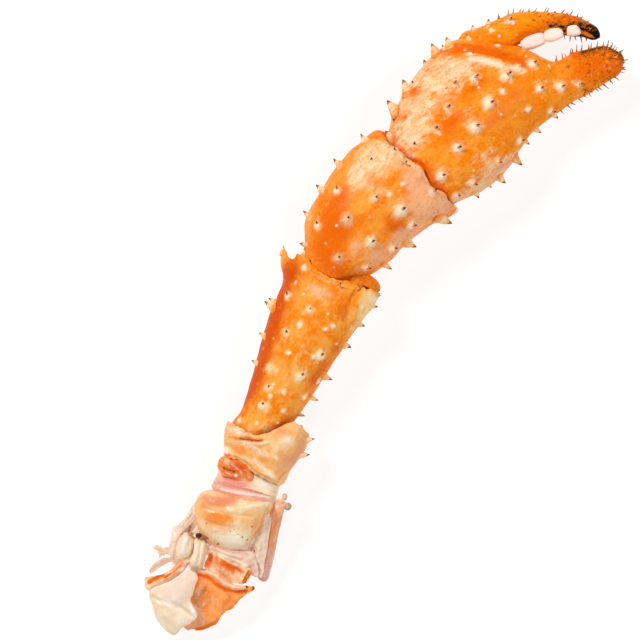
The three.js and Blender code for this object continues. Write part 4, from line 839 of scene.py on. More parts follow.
def hermite(stations, column, along):
    """A cubic through a column of the stations: each station's slope is that between its two neighbours."""
    x, y = stations[:, 0], stations[:, column]
    slope = np.empty_like(y)
    slope[1:-1] = (y[2:] - y[:-2]) / (x[2:] - x[:-2])
    slope[[0, -1]] = (y[[1, -1]] - y[[0, -2]]) / (x[[1, -1]] - x[[0, -2]])
    at = np.clip(along, x[0], x[-1])
    i = np.clip(np.searchsorted(x, at, side="right") - 1, 0, len(x) - 2)
    length = x[i + 1] - x[i]
    t = (at - x[i]) / length
    return (
        (2 * t**3 - 3 * t**2 + 1) * y[i] + (t**3 - 2 * t**2 + t) * length * slope[i]
        + (3 * t**2 - 2 * t**3) * y[i + 1] + (t**3 - t**2) * length * slope[i + 1]
    )


def ripple(points, wavelength, seed):
    """Smooth unevenness from about -1 to 1: the mean of sine waves in random directions, times 2.4."""
    rng = np.random.default_rng(seed)
    aims = unit(rng.normal(size=(WAVES, 3)))
    pitch = wavelength * rng.uniform(0.7, 1.5, WAVES)
    phase = rng.uniform(0, 2 * np.pi, WAVES)
    waves = zip(aims, pitch, phase)
    total = sum(np.sin(2 * np.pi * (points @ aim) / length + shift) for aim, length, shift in waves)
    return np.clip(total / WAVES * 2.4, -1.4, 1.4)


def ovals(along, across, shapes):
    """The sum of soft ovals: strength times exp(-d^2), d being the distance in the oval's own reaches."""
    total = np.zeros_like(along)
    for a, c, reach_a, reach_c, strength in shapes:
        total += strength * np.exp(-(((along - a) / reach_a) ** 2) - ((across - c) / reach_c) ** 2)
    return total


def stroke(along, across, width, strength, line):
    """strength * exp(-(d / width)^2), d being the distance in plan to the line through the given points."""
    nearest = np.full_like(along, 1e9)
    for (a, c), (next_a, next_c) in zip(line[:-1], line[1:]):
        da, dc = next_a - a, next_c - c
        t = np.clip(((along - a) * da + (across - c) * dc) / (da * da + dc * dc), 0, 1)
        nearest = np.minimum(nearest, (along - a - t * da) ** 2 + (across - c - t * dc) ** 2)
    return strength * np.exp(-nearest / width**2)


class Segment:
    """A row of closed rings along a straight axis in plan, as wide and as tall as its stations say."""

    def __init__(self, name):
        made = SEGMENTS[name]
        self.name, self.start, self.turn = name, made["start"], math.radians(made["turn"])
        self.cos, self.sin = math.cos(self.turn), math.sin(self.turn)
        self.axis = np.array([self.cos, self.sin, 0.0])
        self.stations = np.array(made["stations"], float)
        self.ends = self.stations[[0, -1], 0]
        self.caps = made["caps"]
        self.bend, self.mouth = made.get("bend", ROUNDNESS), made.get("mouth", MOUTH_DEPTH)
        self.rims = made.get("start_rim"), made.get("rim")
        self.hugs = made.get("start_hugs"), made.get("hugs")

    def section(self, along):
        """Half width, middle across, half height, middle height and how far the rounded ends have opened."""
        left, right, top, bottom = (hermite(self.stations, column, along) for column in (1, 2, 3, 4))
        opened = np.ones_like(left)
        for end, cap in zip(self.ends, self.caps):
            if cap:
                inside = abs(end - along) * (along >= self.ends[0]) * (along <= self.ends[1])
                opened = opened * np.sqrt(1 - (1 - np.clip(inside / cap, 0, 1)) ** 2)
        return (left - right) / 2, (left + right) / 2, (top - bottom) / 2, (top + bottom) / 2, opened

    def plan(self, along, across, height):
        """A point from along, across and height to the leg's frame: a turn, then the start and the shift."""
        x = self.start[0] + along * self.cos - across * self.sin
        y = self.start[1] + along * self.sin + across * self.cos
        return np.stack([x, y, height + np.zeros_like(x)], axis=-1) + FRAME_SHIFT

    def local(self, points):
        """Along, across and height of points in the leg's frame: plan, turned back."""
        x, y, z = np.moveaxis(points - FRAME_SHIFT - (*self.start, 0), -1, 0)
        return x * self.cos + y * self.sin, y * self.cos - x * self.sin, z

    def skin(self, along, angle, inset=0.0):
        """A point of the ring's squared ellipse, inset mm inwards; angle 0 is on the left, pi / 2 on top."""
        half_wide, middle, half_tall, level, opened = self.section(along)
        across = middle + (half_wide - inset) * opened * bent(np.cos(angle), self.bend)
        height = level + (half_tall - inset) * opened * bent(np.sin(angle), self.bend)
        return self.plan(along, across, np.maximum(height, 0.0))

    def angle_at(self, along, across, under=False):
        """The angle of the point that lies across, above or under: the inverse of the bent cosine."""
        half_wide, middle, _, _, opened = self.section(along)
        share = np.clip((across - middle) / (half_wide * np.maximum(opened, 0.05)), -1, 1)
        return np.arccos(np.sign(share) * np.abs(share) ** (self.bend / 2)) * np.where(under, -1, 1)

    def frame(self, along, angle):
        """A point of the skin and the direction square to it: the cross product of short steps over it."""
        foot = self.skin(along, angle)
        ahead = self.skin(along + 0.4, angle) - self.skin(along - 0.4, angle)
        out = unit(np.cross(self.skin(along, angle + 0.04) - self.skin(along, angle - 0.04), ahead))
        _, middle, _, level, _ = self.section(along)
        away = foot - self.plan(along, middle, level)
        return foot, out * np.sign((out * away).sum(axis=-1, keepdims=True) + 1e-9)

    def depth(self, points):
        """How far out points are on the rings they are level with: 1 is on the skin, less is inside."""
        along, across, height = self.local(points)
        half_wide, middle, half_tall, level, opened = self.section(along)
        opened = np.maximum(opened, 0.02)
        wide = np.abs(across - middle) / (half_wide * opened)
        tall = np.abs(height - level) / (half_tall * opened)
        return (wide**self.bend + tall**self.bend) ** (1 / self.bend)


def ring_rows(segment, rows, columns):
    """Along and inset of every point: rings from end to end, then at a mouth the rim and its inner wall.

    A ring's place is its share of the way between the ends, the mean of an even share and a cosine one, so
    that rings stand closer near both. A mouth's end runs along the rim's points, with two fine waves on it.
    The rim is half a circle of LIP_RADIUS, and the wall goes straight back."""
    angle = np.arange(columns) * 2 * np.pi / columns
    share = np.linspace(0, 1, rows)
    share = (share + (1 - np.cos(np.pi * share)) / 2) / 2
    ends = []
    for side, rim in enumerate(segment.rims):
        if rim is None:
            ends.append(np.full(columns, segment.ends[side] + (0.02, -0.02)[side]))
            continue
        half_wide, middle, *_ = segment.section(np.full(columns, segment.ends[side]))
        across = middle + half_wide * bent(np.cos(angle), segment.bend)
        place = softened(np.interp(across, *np.array(rim, float).T), 2)
        ends.append(place + 0.2 * np.sin(across * 1.7 + side) + 0.16 * np.sin(angle * 31))
    along = ends[0] + (ends[1] - ends[0]) * share[:, None]
    inset = np.zeros_like(along)
    arc, back = np.linspace(0, np.pi, LIP_RINGS + 1)[1:], np.linspace(0, 1, WALL_RINGS + 1)[1:]
    reach = np.concatenate([LIP_RADIUS * np.sin(arc), -segment.mouth * back])[:, None]
    inward = np.concatenate([LIP_RADIUS * (1 - np.cos(arc)), 2 * LIP_RADIUS + 0.5 * back])
    inward = inward[:, None] + np.zeros(columns)
    if segment.rims[0]:
        along, inset = np.concatenate([(ends[0] - reach)[::-1], along]), np.concatenate([inward[::-1], inset])
    if segment.rims[1]:
        along, inset = np.concatenate([along, ends[1] + reach]), np.concatenate([inset, inward])
    return along, inset, angle, ends


def hug(segment, points, along, ends):
    """Bends each mouth's rim to its neighbour's skin.

    Along the line from the rim to the segment's axis, halving finds where the neighbour's skin begins, and
    the rim moves there, or stays where that is too far in; the rings behind it follow by a share that fades
    over HUG_REACH."""
    for end, name in zip(ends, segment.hugs):
        if name is None:
            continue
        neighbour = Segment(name)
        half_wide, middle, half_tall, level, _ = segment.section(end)
        centre = segment.plan(end, middle, level)
        away = np.abs(along - end)
        rim = points[np.argmin(away.sum(axis=1))]
        room = 1 + (2 * LIP_RADIUS + RIM_ROOM) / np.minimum(half_wide, half_tall)
        low, high = np.full(len(rim), 0.5), np.full(len(rim), 1.15)
        for _ in range(HALVINGS):
            half = (low + high) / 2
            outside = neighbour.depth(centre + (rim - centre) * half[:, None]) > room
            low, high = np.where(outside, low, half), np.where(outside, half, high)
        scale = softened(high + (1 - high) * (1 - soft_step(high, 0.7, 0.88)), 4)
        shift = (centre + (rim - centre) * scale[:, None]) - rim
        points = points + shift * (1 - soft_step(away, 0, HUG_REACH))[..., None]
    return points


def grid_normals(points):
    """Unit normals of a grid that closes round its columns: the cross product of its two steps."""
    around = np.roll(points, -1, axis=1) - np.roll(points, 1, axis=1)
    normal = np.cross(around, np.gradient(points, axis=0))
    facing = (normal * (points - points.mean(axis=1, keepdims=True))).sum(axis=(1, 2))
    return unit(normal * np.where(facing < 0, -1, 1)[:, None, None])


class Gathered:
    """The points, faces and masks of one piece, added part by part."""

    def __init__(self):
        self.points, self.quads, self.triangles = [], [], []
        self.masks = {mask: [] for mask in MASKS}
        self.count = 0

    def add(self, points, quads, triangles, masks):
        """Adds a part, counting on from the last point; a mask is one value or one for every point."""
        points = points.reshape(-1, 3)
        self.points.append(points)
        self.quads.append(quads + self.count)
        self.triangles.append(triangles + self.count)
        for mask in MASKS:
            value = np.asarray(masks.get(mask, 0.0), float).reshape(-1)
            self.masks[mask].append(np.broadcast_to(value, (len(points),)))
        self.count += len(points)

    def piece(self, node, suffix, material, slot):
        """Writes the arrays into a mesh in metres, and gives the piece its body and node; slot is not used.
        """
        name = node + "_" + suffix
        points = np.concatenate(self.points) * MM
        points[:, 2] = np.maximum(points[:, 2], 0.0)
        quads, triangles = np.concatenate(self.quads), np.concatenate(self.triangles)
        loops = np.concatenate([quads.ravel(), triangles.ravel()]).astype(np.int32)
        starts = np.concatenate([np.arange(len(quads)) * 4, quads.size + np.arange(len(triangles)) * 3])
        mesh = bpy.data.meshes.new(name)
        mesh.vertices.add(len(points))
        mesh.vertices.foreach_set("co", points.astype(np.float32).ravel())
        mesh.loops.add(len(loops))
        mesh.loops.foreach_set("vertex_index", loops)
        mesh.polygons.add(len(starts))
        mesh.polygons.foreach_set("loop_start", starts.astype(np.int32))
        mesh.polygons.foreach_set("use_smooth", np.ones(len(starts), bool))
        mesh.update(calc_edges=True)
        for mask in MASKS:
            values = np.clip(np.concatenate(self.masks[mask]), 0, 1).astype(np.float32)
            mesh.attributes.new(mask, "FLOAT", "POINT").data.foreach_set("value", values)
        mesh.materials.append(material)
        made = bpy.data.objects.new(name, mesh)
        bpy.context.scene.collection.objects.link(made)
        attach(made, "root")
        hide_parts(node)


def tube_faces(rows, columns, flip=False):
    """Quads of a grid that closes round its columns, and a fan to one more point at each end."""
    i, j = np.meshgrid(np.arange(rows - 1) * columns, np.arange(columns), indexing="ij")
    k = (j + 1) % columns
    quads = np.stack([i + j, i + k, i + columns + k, i + columns + j], axis=-1).reshape(-1, 4)
    j, k, pole = j[0], k[0], np.full(columns, rows * columns)
    tail = (rows - 1) * columns
    corners = ((pole, k, j), (pole + 1, tail + j, tail + k))
    fans = np.concatenate([np.stack(three, axis=-1) for three in corners])
    return (quads[:, ::-1], fans[:, ::-1]) if flip else (quads, fans)


def spikes(foot, aim, lean, length, radius, sides, rings, power, flare=0.15, root=0.6):
    """n curved cones with closed feet, and each point's share of its cone's length.

    At the share t of its length, a cone's middle is foot + aim * length * t + lean * t^2, and its radius is
    radius * ((1 - t)^power + flare * exp(-8 t)) / (1 + flare), so it spreads at its foot."""
    n = len(foot)
    aim = unit(aim)
    side = unit(np.cross(aim, np.where(np.abs(aim[:, 2:3]) < 0.9, [[0.0, 0.0, 1.0]], [[1.0, 0.0, 0.0]])))
    front = np.cross(aim, side)
    t = np.linspace(0, 1, rings + 1)[:-1]
    middle = foot[:, None] + aim[:, None] * (length[:, None] * t)[..., None]
    middle = middle + lean[:, None] * (t**2)[None, :, None]
    middle[:, 0] -= aim * root
    wide = radius[:, None] * ((1 - t) ** power + flare * np.exp(-8 * t)) / (1 + flare)
    turn = (np.arange(sides) * 2 * np.pi / sides)[:, None]
    spoke = side[:, None] * np.cos(turn) + front[:, None] * np.sin(turn)
    around = middle[:, :, None] + spoke[:, None] * wide[..., None, None]
    ends = np.stack([foot - aim * root, foot + aim * length[:, None] + lean], axis=1)
    points = np.concatenate([around.reshape(n, -1, 3), ends], axis=1).reshape(-1, 3)
    quads, fans = (
        (faces + (np.arange(n) * (rings * sides + 2))[:, None, None]).reshape(-1, faces.shape[1])
        for faces in tube_faces(rings, sides, flip=True)
    )
    return points, quads, fans, np.tile(np.concatenate([np.repeat(t, sides), [0.0, 1.0]]), n)


def with_poles(masks):
    """Each mask of a grid as a row, with its first and last rows' values for the two end points."""
    return {mask: np.append(value.ravel(), [value[0, 0], value[-1, 0]]) for mask, value in masks.items()}


# ---------------------------------------------------------------- parts of a segment


def painted(name, along, across, upper):
    """Each mask: the most of its ovals' sum and of any line on the outer face, or UNDERSIDE's value below."""
    masks = {}
    for mask in MASKS:
        value = np.clip(ovals(along, across, ZONES.get(name, {}).get(mask, ())), 0, 1)
        for line in STROKES.get(name, {}).get(mask, ()):
            value = np.maximum(value, stroke(along, across, *line))
        masks[mask] = value * upper + UNDERSIDE.get(mask, 0.0) * (1 - upper)
    return masks


def wart_places(name):
    """The named warts, and small ones scattered between them: along, across, radius and whether below."""
    places = [(a, c, r, False) for a, c, r in WARTS.get(name, ())]
    above, below, (low, high) = SCATTER.get(name, (0, 0, (0, 0)))
    rng = np.random.default_rng(len(name) * 7 + 1)
    segment = Segment(name)
    for number in range(above + below):
        under = number >= above
        a = rng.uniform(low, high)
        half_wide, middle, *_ = segment.section(np.array(a))
        c = float(middle + half_wide * rng.uniform(-0.86, 0.7))
        radius = rng.uniform(1.5, 2.6) if under else rng.uniform(0.5, 1.0)
        crowd = [math.hypot(a - b[0], c - b[1]) for b in places if b[3] == under]
        if not crowd or min(crowd) > (4.5 if under else 2.6):
            places.append((a, c, radius, under))
    return places


def has_tip(name, along, radius):
    """Whether a wart ends in a dark thorn's tip: a large one that isn't blunt."""
    return radius > TIPLESS and (name, along) not in BLUNT


def shell(segment, gathered):
    """A segment's shell: its rings, bent to its neighbours, uneven, and swollen into a dome at every wart.

    At a distance of q radii, a dome's height is DOME * radius * (1 - (q / 1.2)^2)^2, and its peak adds
    PEAK * radius * exp(-(q / 0.34)^2). It leans along the segment by a third of its height. It is whiter the
    less pale the shell is around it, with a pale ring and a deeper shade beyond its tip."""
    name = segment.name
    along, inset, angle, ends = ring_rows(segment, *FACES[name])
    points = hug(segment, segment.skin(along, angle, inset), along, ends)
    normals = grid_normals(points)
    a, c, _ = segment.local(points)
    upper = soft_step(np.sin(angle), -0.35, 0.15) * np.ones_like(a)
    rise = sum(height * ripple(points, length, seed) for height, length, seed in UNEVEN)
    for line in STROKES.get(name, {}).get("relief", ()):
        rise = rise + stroke(a, c, *line) * soft_step(np.sin(angle), 0.0, 0.4)
    masks = painted(name, a, c, upper)
    dome, pale = np.zeros_like(a), masks["pale"]
    for spot_a, spot_c, radius, under in wart_places(name):
        foot = segment.skin(np.array(spot_a), segment.angle_at(np.array(spot_a), spot_c, under))
        shape = radius * (1 + 0.1 * ripple(points - foot, 2.6 * radius, int(spot_a * 10)))

        def away(ahead):
            return np.linalg.norm(points - foot - segment.axis * ahead * radius, axis=-1)

        q = away(0) / shape
        near = np.clip(1 - (q / 1.2) ** 2, 0, 1)
        peak = PEAK * radius * np.exp(-((q / 0.34) ** 2)) * (q < 1)
        dome = np.maximum(dome, DOME * radius * near**2 + peak)
        around = float(np.exp(-(q**2)).ravel() @ pale.ravel() / np.exp(-(q**2)).sum())
        white = (1.0 if radius > 0.95 else 0.34) * (1 - 0.7 * np.clip(around, 0, 1))
        white = white * (0.4 if (name, spot_a) in DULL else 1.0)
        marks = {
            "wart": white * np.exp(-((away(-0.16) / shape / 0.76) ** 1.9)),
            "pale": 0.85 * np.exp(-((q / 1.3) ** 2)) * (radius > 1.1),
        }
        if has_tip(name, spot_a, radius):
            marks["dark"] = 0.4 * np.exp(-((away(0.34) / 0.8) ** 2))
            marks["deep"] = 0.7 * np.exp(-((away(1.15) / radius / 0.5) ** 2))
        for mask, value in marks.items():
            masks[mask] = np.maximum(masks[mask], value)
    edges = (inset <= 0) * np.ones_like(along)
    for end, rim in zip(ends, segment.rims):
        edges = edges * soft_step(np.abs(along - end), 0, 1.2 if rim else 0.6)
    points = points + normals * ((rise + dome) * edges)[..., None]
    points = points + segment.axis * (dome * (inset <= 0) * 0.33)[..., None]
    floor = soft_step(inset - 2 * LIP_RADIUS, 0.05, 0.35)  # how far past the rim, down its inner wall
    # Down a mouth's inner wall: dark and deep near the lip, the joint's own dark and partly painted shade in
    # the gap; rosy membrane further in.
    inner = (("dark", 1.9, 0.34 * (1 - floor)), ("deep", 1.5, 1 - 0.7 * floor), ("rosy", 1.5, 0.9 * floor))
    for mask, lip, value in inner:
        masks[mask] = np.where(inset > lip * LIP_RADIUS, value, masks[mask])
    poles = np.stack([points[0].mean(axis=0), points[-1].mean(axis=0)])
    gathered.add(np.concatenate([points.reshape(-1, 3), poles]), *tube_faces(*a.shape), with_poles(masks))


def tips(segment, gathered):
    """A dark thorn's tip on every larger wart, leaning along the segment."""
    spots = [spot for spot in wart_places(segment.name) if has_tip(segment.name, spot[0], spot[2])]
    if not spots:
        return
    along, across, radius, under = np.array(spots, float).T
    foot, out = segment.frame(along, segment.angle_at(along, across, under > 0))
    foot = foot + out * (radius * 0.46)[:, None] + segment.axis * (radius * 0.3)[:, None]
    points, quads, triangles, share = spikes(
        foot, out + segment.axis * 0.7, np.tile(segment.axis * 0.3, (len(foot), 1)),
        0.8 + radius * 0.36, 0.4 + radius * 0.13, sides=10, rings=6, power=0.75,
    )
    gathered.add(points, quads, triangles, {"wart": 0.6, "dark": 0.26 + 0.6 * soft_step(share, 0.2, 0.75)})


def thorns(segment, gathered):
    """The edge thorns: each from its foot on the skin to its tip, pale with a dark end."""
    spots = THORNS.get(segment.name)
    if not spots:
        return
    tip_a, tip_c, foot_a, foot_c, radius = np.array(spots, float).T
    foot = segment.skin(foot_a, segment.angle_at(foot_a, foot_c))
    _, _, _, level, _ = segment.section(foot_a)
    above = foot[:, 2] - level
    foot[:, 2] -= 0.42 * above
    tip = segment.plan(tip_a, tip_c, level + 0.4 * above + 1.0)
    length = 0.93 * np.linalg.norm(tip - foot, axis=1)
    points, quads, triangles, share = spikes(
        foot, tip - foot, segment.axis * 0.1 * length[:, None], length, 1.16 * radius,
        sides=18, rings=18, root=1.0, power=0.82,
    )
    points = points + 0.12 * ripple(points, 3, 9)[:, None]
    gathered.add(points, quads, triangles, {
        "pale": 0.4 + 0.5 * soft_step(share, 0.1, 0.5), "wart": 0.36 * soft_step(share, 0.3, 0.6),
        "dark": 0.34 * soft_step(share, 0.62, 0.8) + 0.5 * soft_step(share, 0.82, 0.94),
    })


def bristles(segment, gathered):
    """Short stiff bristles in the bands of BRISTLES, golden at the foot and brown at the end."""
    rng = np.random.default_rng(31)
    for low, high, from_angle, to_angle, count, length, radius, lean in BRISTLES.get(segment.name, ()):
        along = low + (high - low) * (np.arange(count) + rng.uniform(0.1, 0.9, count)) / count
        foot, out = segment.frame(along, np.radians(rng.uniform(from_angle, to_angle, count)))
        aim = out + segment.axis * lean + rng.normal(0, 0.16, (count, 3))
        size = length * rng.uniform(0.7, 1.3, count)
        bow = rng.normal(0, 0.08, (count, 3)) * length
        points, quads, triangles, share = spikes(
            foot, aim, bow, size, radius * rng.uniform(0.8, 1.2, count),
            sides=6, rings=5, flare=0.3, root=0.3, power=0.65,
        )
        gathered.add(points, quads, triangles, {"dark": 0.3 + 0.5 * soft_step(share, 0.35, 0.95)})


def pebble(gathered, centre, turn, sizes, lumps, seed, masks, squareness=1.0):
    """A rounded lump: a sphere stretched along three axes turned about Z by degrees, and swollen and pinched
    by waves of about its own size. Each coordinate is raised to squareness, which makes it blockier."""
    rows, columns = PEBBLE_GRID
    u = ((np.arange(rows) + 0.5) / rows * np.pi)[:, None]
    v = np.arange(columns) * 2 * np.pi / columns
    ball = np.stack([np.cos(u) + 0 * v, np.sin(u) * np.cos(v), np.sin(u) * np.sin(v)], axis=-1)
    ball = np.concatenate([ball.reshape(-1, 3), [[1, 0, 0], [-1, 0, 0]]])
    ball = np.sign(ball) * np.abs(ball) ** squareness
    ball = ball * (1 + lumps * ripple(ball, 2.2, seed) + 0.4 * lumps * ripple(ball, 0.9, seed + 1))[:, None]
    cos, sin = math.cos(math.radians(turn)), math.sin(math.radians(turn))
    points = centre + ball * sizes @ [(cos, sin, 0), (-sin, cos, 0), (0, 0, 1)]
    gathered.add(points, *tube_faces(rows, columns), masks)


def teeth(segment, gathered):
    """The finger's three rounded teeth, set along its gripping edge."""
    for along, across, long, wide, turn in TEETH:
        centre = segment.plan(along, across, TOOTH_HEIGHT)
        turn = turn + math.degrees(segment.turn)
        sizes = long / 2, wide / 2, TOOTH_HALF
        pebble(gathered, centre, turn, sizes, 0.08, int(2 * along), {"wart": 1.0}, 0.64)


def stub(segment, gathered):
    """The blunt pale stub below the palm's corner."""
    place, turn, sizes = STUB
    masks = {"wart": 0.75, "pale": 1.0, "rosy": 0.3}
    pebble(gathered, segment.plan(*place), math.degrees(segment.turn) + turn, sizes, 0.05, 3, masks, 0.7)


EXTRAS = {"palm": [stub], "finger": [teeth]}


def build_segment(name, material, slot):
    """A segment with its tips, thorns and bristles as one piece that stands for its node."""
    gathered, segment = Gathered(), Segment(name)
    for step in (shell, tips, thorns, bristles, *EXTRAS.get(name, ())):
        step(segment, gathered)
    gathered.piece(name, "shell", material, slot)


# ---------------------------------------------------------------- sheets and meat


def closed_curve(corners, count):
    """A closed smooth curve through corners: between two of them it is the Catmull-Rom cubic."""
    p = np.array(corners, float)
    t = np.linspace(0, len(p), count, endpoint=False)
    i = t.astype(int)
    f = (t - i)[:, None]
    a, b, c, d = (p[(i + step) % len(p)] for step in (-1, 0, 1, 2))
    return 0.5 * (2 * b + (c - a) * f + (2 * a - 5 * b + 4 * c - d) * f**2 + (3 * b - a - 3 * c + d) * f**3)


def leaf(made, gathered, seed):
    """A closed sheet or cushion: rings that shrink from its outline to its middle, above and below.

    At the share r of the way out, half the thickness is thick / 2 * sqrt(1 - 0.97 r^fullness). The height is
    that of the middle plus the slopes, the bend times the squared distance from the middle, the relief lines
    and a crumple of waves. The outline is nibbled by sines of the turn round it."""
    rings, columns = LEAF_GRID
    edge = closed_curve(made["outline"], columns)
    middle = edge.mean(axis=0)
    rng = np.random.default_rng(seed)
    turn = np.arange(columns) * 2 * np.pi / columns
    nibble = sum(np.sin(turn * k + rng.uniform(0, 6)) / math.sqrt(k) for k in NIBBLES)
    edge = edge + unit(edge - middle) * (nibble * made["ragged"])[:, None]
    r = np.sin(np.linspace(0, 1, rings + 1)[1:] * np.pi / 2)[:, None]
    flat = middle + (edge - middle) * r[..., None]
    x, y = np.moveaxis(flat - middle, -1, 0)
    place = flat[..., 0], flat[..., 1]
    waves = np.concatenate([flat, np.zeros_like(flat[..., :1])], axis=-1)
    height = made["height"] + made["slope"][0] * x + made["slope"][1] * y + made["bend"] * (x * x + y * y)
    height = height + made["crumple"] * (ripple(waves, 9, seed) + 0.4 * ripple(waves, 3.4, seed + 3))
    for line in made.get("relief", ()):
        height = height + stroke(*place, *line)
    masks = {}
    for mask in MASKS:
        masks[mask] = made.get("base", {}).get(mask, 0.0) + np.zeros_like(x)
        for line in made.get(mask, ()):
            masks[mask] = np.maximum(masks[mask], stroke(*place, *line))
    masks["pale"] = masks["pale"] * (1 - np.clip(masks["deep"], 0, 1))
    for mask, strength in made.get("rim", {}).items():
        masks[mask] = masks[mask] + (strength - masks[mask]) * soft_step(r, 0.9, 1.0)
    half = made["thick"] / 2 * np.sqrt(1 - 0.97 * r ** made.get("fullness", 6))
    top, low = (np.concatenate([flat, (height + side * half)[..., None]], axis=-1) for side in (1, -1))
    level, half = height[0].mean(), half[0, 0]
    poles = [[*middle, level + half], [*middle, level - half]]
    points = np.concatenate([top.reshape(-1, 3), low[::-1].reshape(-1, 3), poles]) + FRAME_SHIFT
    area = (edge[:, 0] * np.roll(edge[:, 1], -1) - np.roll(edge[:, 0], -1) * edge[:, 1]).sum()
    masks = with_poles({mask: np.concatenate([value, value[::-1]]) for mask, value in masks.items()})
    gathered.add(points, *tube_faces(2 * rings, columns, flip=area > 0), masks)


def build_leaves(node, material, slot):
    """The sheets of one node, and the lumps that grow on them, as one piece."""
    gathered = Gathered()
    for number, made in enumerate(LEAVES[node]):
        leaf(made, gathered, len(node) + 5 * number)
    for centre, turn, sizes, masks in LUMPS.get(node, ()):
        pebble(gathered, centre + FRAME_SHIFT, turn, sizes, 0.12, len(node), masks)
    gathered.piece(node, "sheet", material, slot)


# ---------------------------------------------------------------- materials


class Field:
    """An output of a node: adding, subtracting and multiplying make Math nodes after it."""

    def __init__(self, tree, socket):
        self.tree, self.socket = tree, socket

    def combined(self, operation, other):
        """A Math node of this field and another, or a number."""
        return self.tree.add("ShaderNodeMath", {"operation": operation}, in0=self, in1=other)

    def __add__(self, other):
        return self.combined("ADD", other)

    def __sub__(self, other):
        return self.combined("SUBTRACT", other)

    def __mul__(self, other):
        return self.combined("MULTIPLY", other)

    def step(self, low, high, to_low=0.0, to_high=1.0):
        """A smooth step from to_low at low to to_high at high."""
        return self.tree.add(
            "ShaderNodeMapRange", {"interpolation_type": "SMOOTHSTEP"}, Value=self,
            From_Min=low, From_Max=high, To_Min=to_low, To_Max=to_high,
        )


class Tree:
    """Short calls for the nodes of one tree."""

    def __init__(self, tree):
        self.tree = tree

    def add(self, kind, props=None, out=0, **inputs):
        """A node with its properties and inputs set, in0 being its first input; its output out."""
        made = self.tree.nodes.new(kind)
        for key, value in (props or {}).items():
            setattr(made, key, value)
        for key, value in inputs.items():
            place = made.inputs[int(key[2:])] if key.startswith("in") else made.inputs[key.replace("_", " ")]
            if isinstance(value, Field):
                self.tree.links.new(value.socket, place)
            else:
                place.default_value = value
        return Field(self, made.outputs[out])

    def mix(self, share, a, b):
        """The colour that lies a share of the way from a to b."""
        return self.add("ShaderNodeMix", {"data_type": "RGBA"}, 2, in0=share, in6=a, in7=b)

    def noise(self, where, scale, detail, rough, distortion=0.0):
        """A noise of scale waves to a metre."""
        return self.add(
            "ShaderNodeTexNoise", Vector=where, Scale=scale, Detail=detail, Roughness=rough,
            Distortion=distortion,
        )

    def mask(self, name):
        """One of the masks that the mesh carries."""
        return self.add("ShaderNodeAttribute", {"attribute_name": name}, "Fac")

    def where(self):
        """Object coordinates, in metres."""
        return self.add("ShaderNodeTexCoord", out="Object")

    def drawn_out(self, turn, stretch):
        """Object coordinates turned back by a segment's turn, and drawn out along it."""
        about = {"rotation_type": "Z_AXIS"}
        turned = self.add("ShaderNodeVectorRotate", about, Vector=self.where(), Angle=turn)
        return self.add("ShaderNodeMapping", Vector=turned, Scale=(stretch, 1.0, 1.0))

    def spots(self, scale, size, soft, chance):
        """Round spots: one in some of a Voronoi texture's cells, up to a distance from its middle."""
        near = self.add("ShaderNodeTexVoronoi", out="Distance", Vector=self.where(), Scale=scale)
        shade = Field(self, near.socket.node.outputs["Color"])
        picked = self.add("ShaderNodeSeparateColor", Color=shade)
        return near.step(size, size * soft) * picked.step(1 - chance, 1.04 - chance)


def socket_value(value):
    """A display colour as the linear light and alpha that a colour socket takes, or a number as it is."""
    return (*colour(*value), 1.0) if isinstance(value, tuple) else value


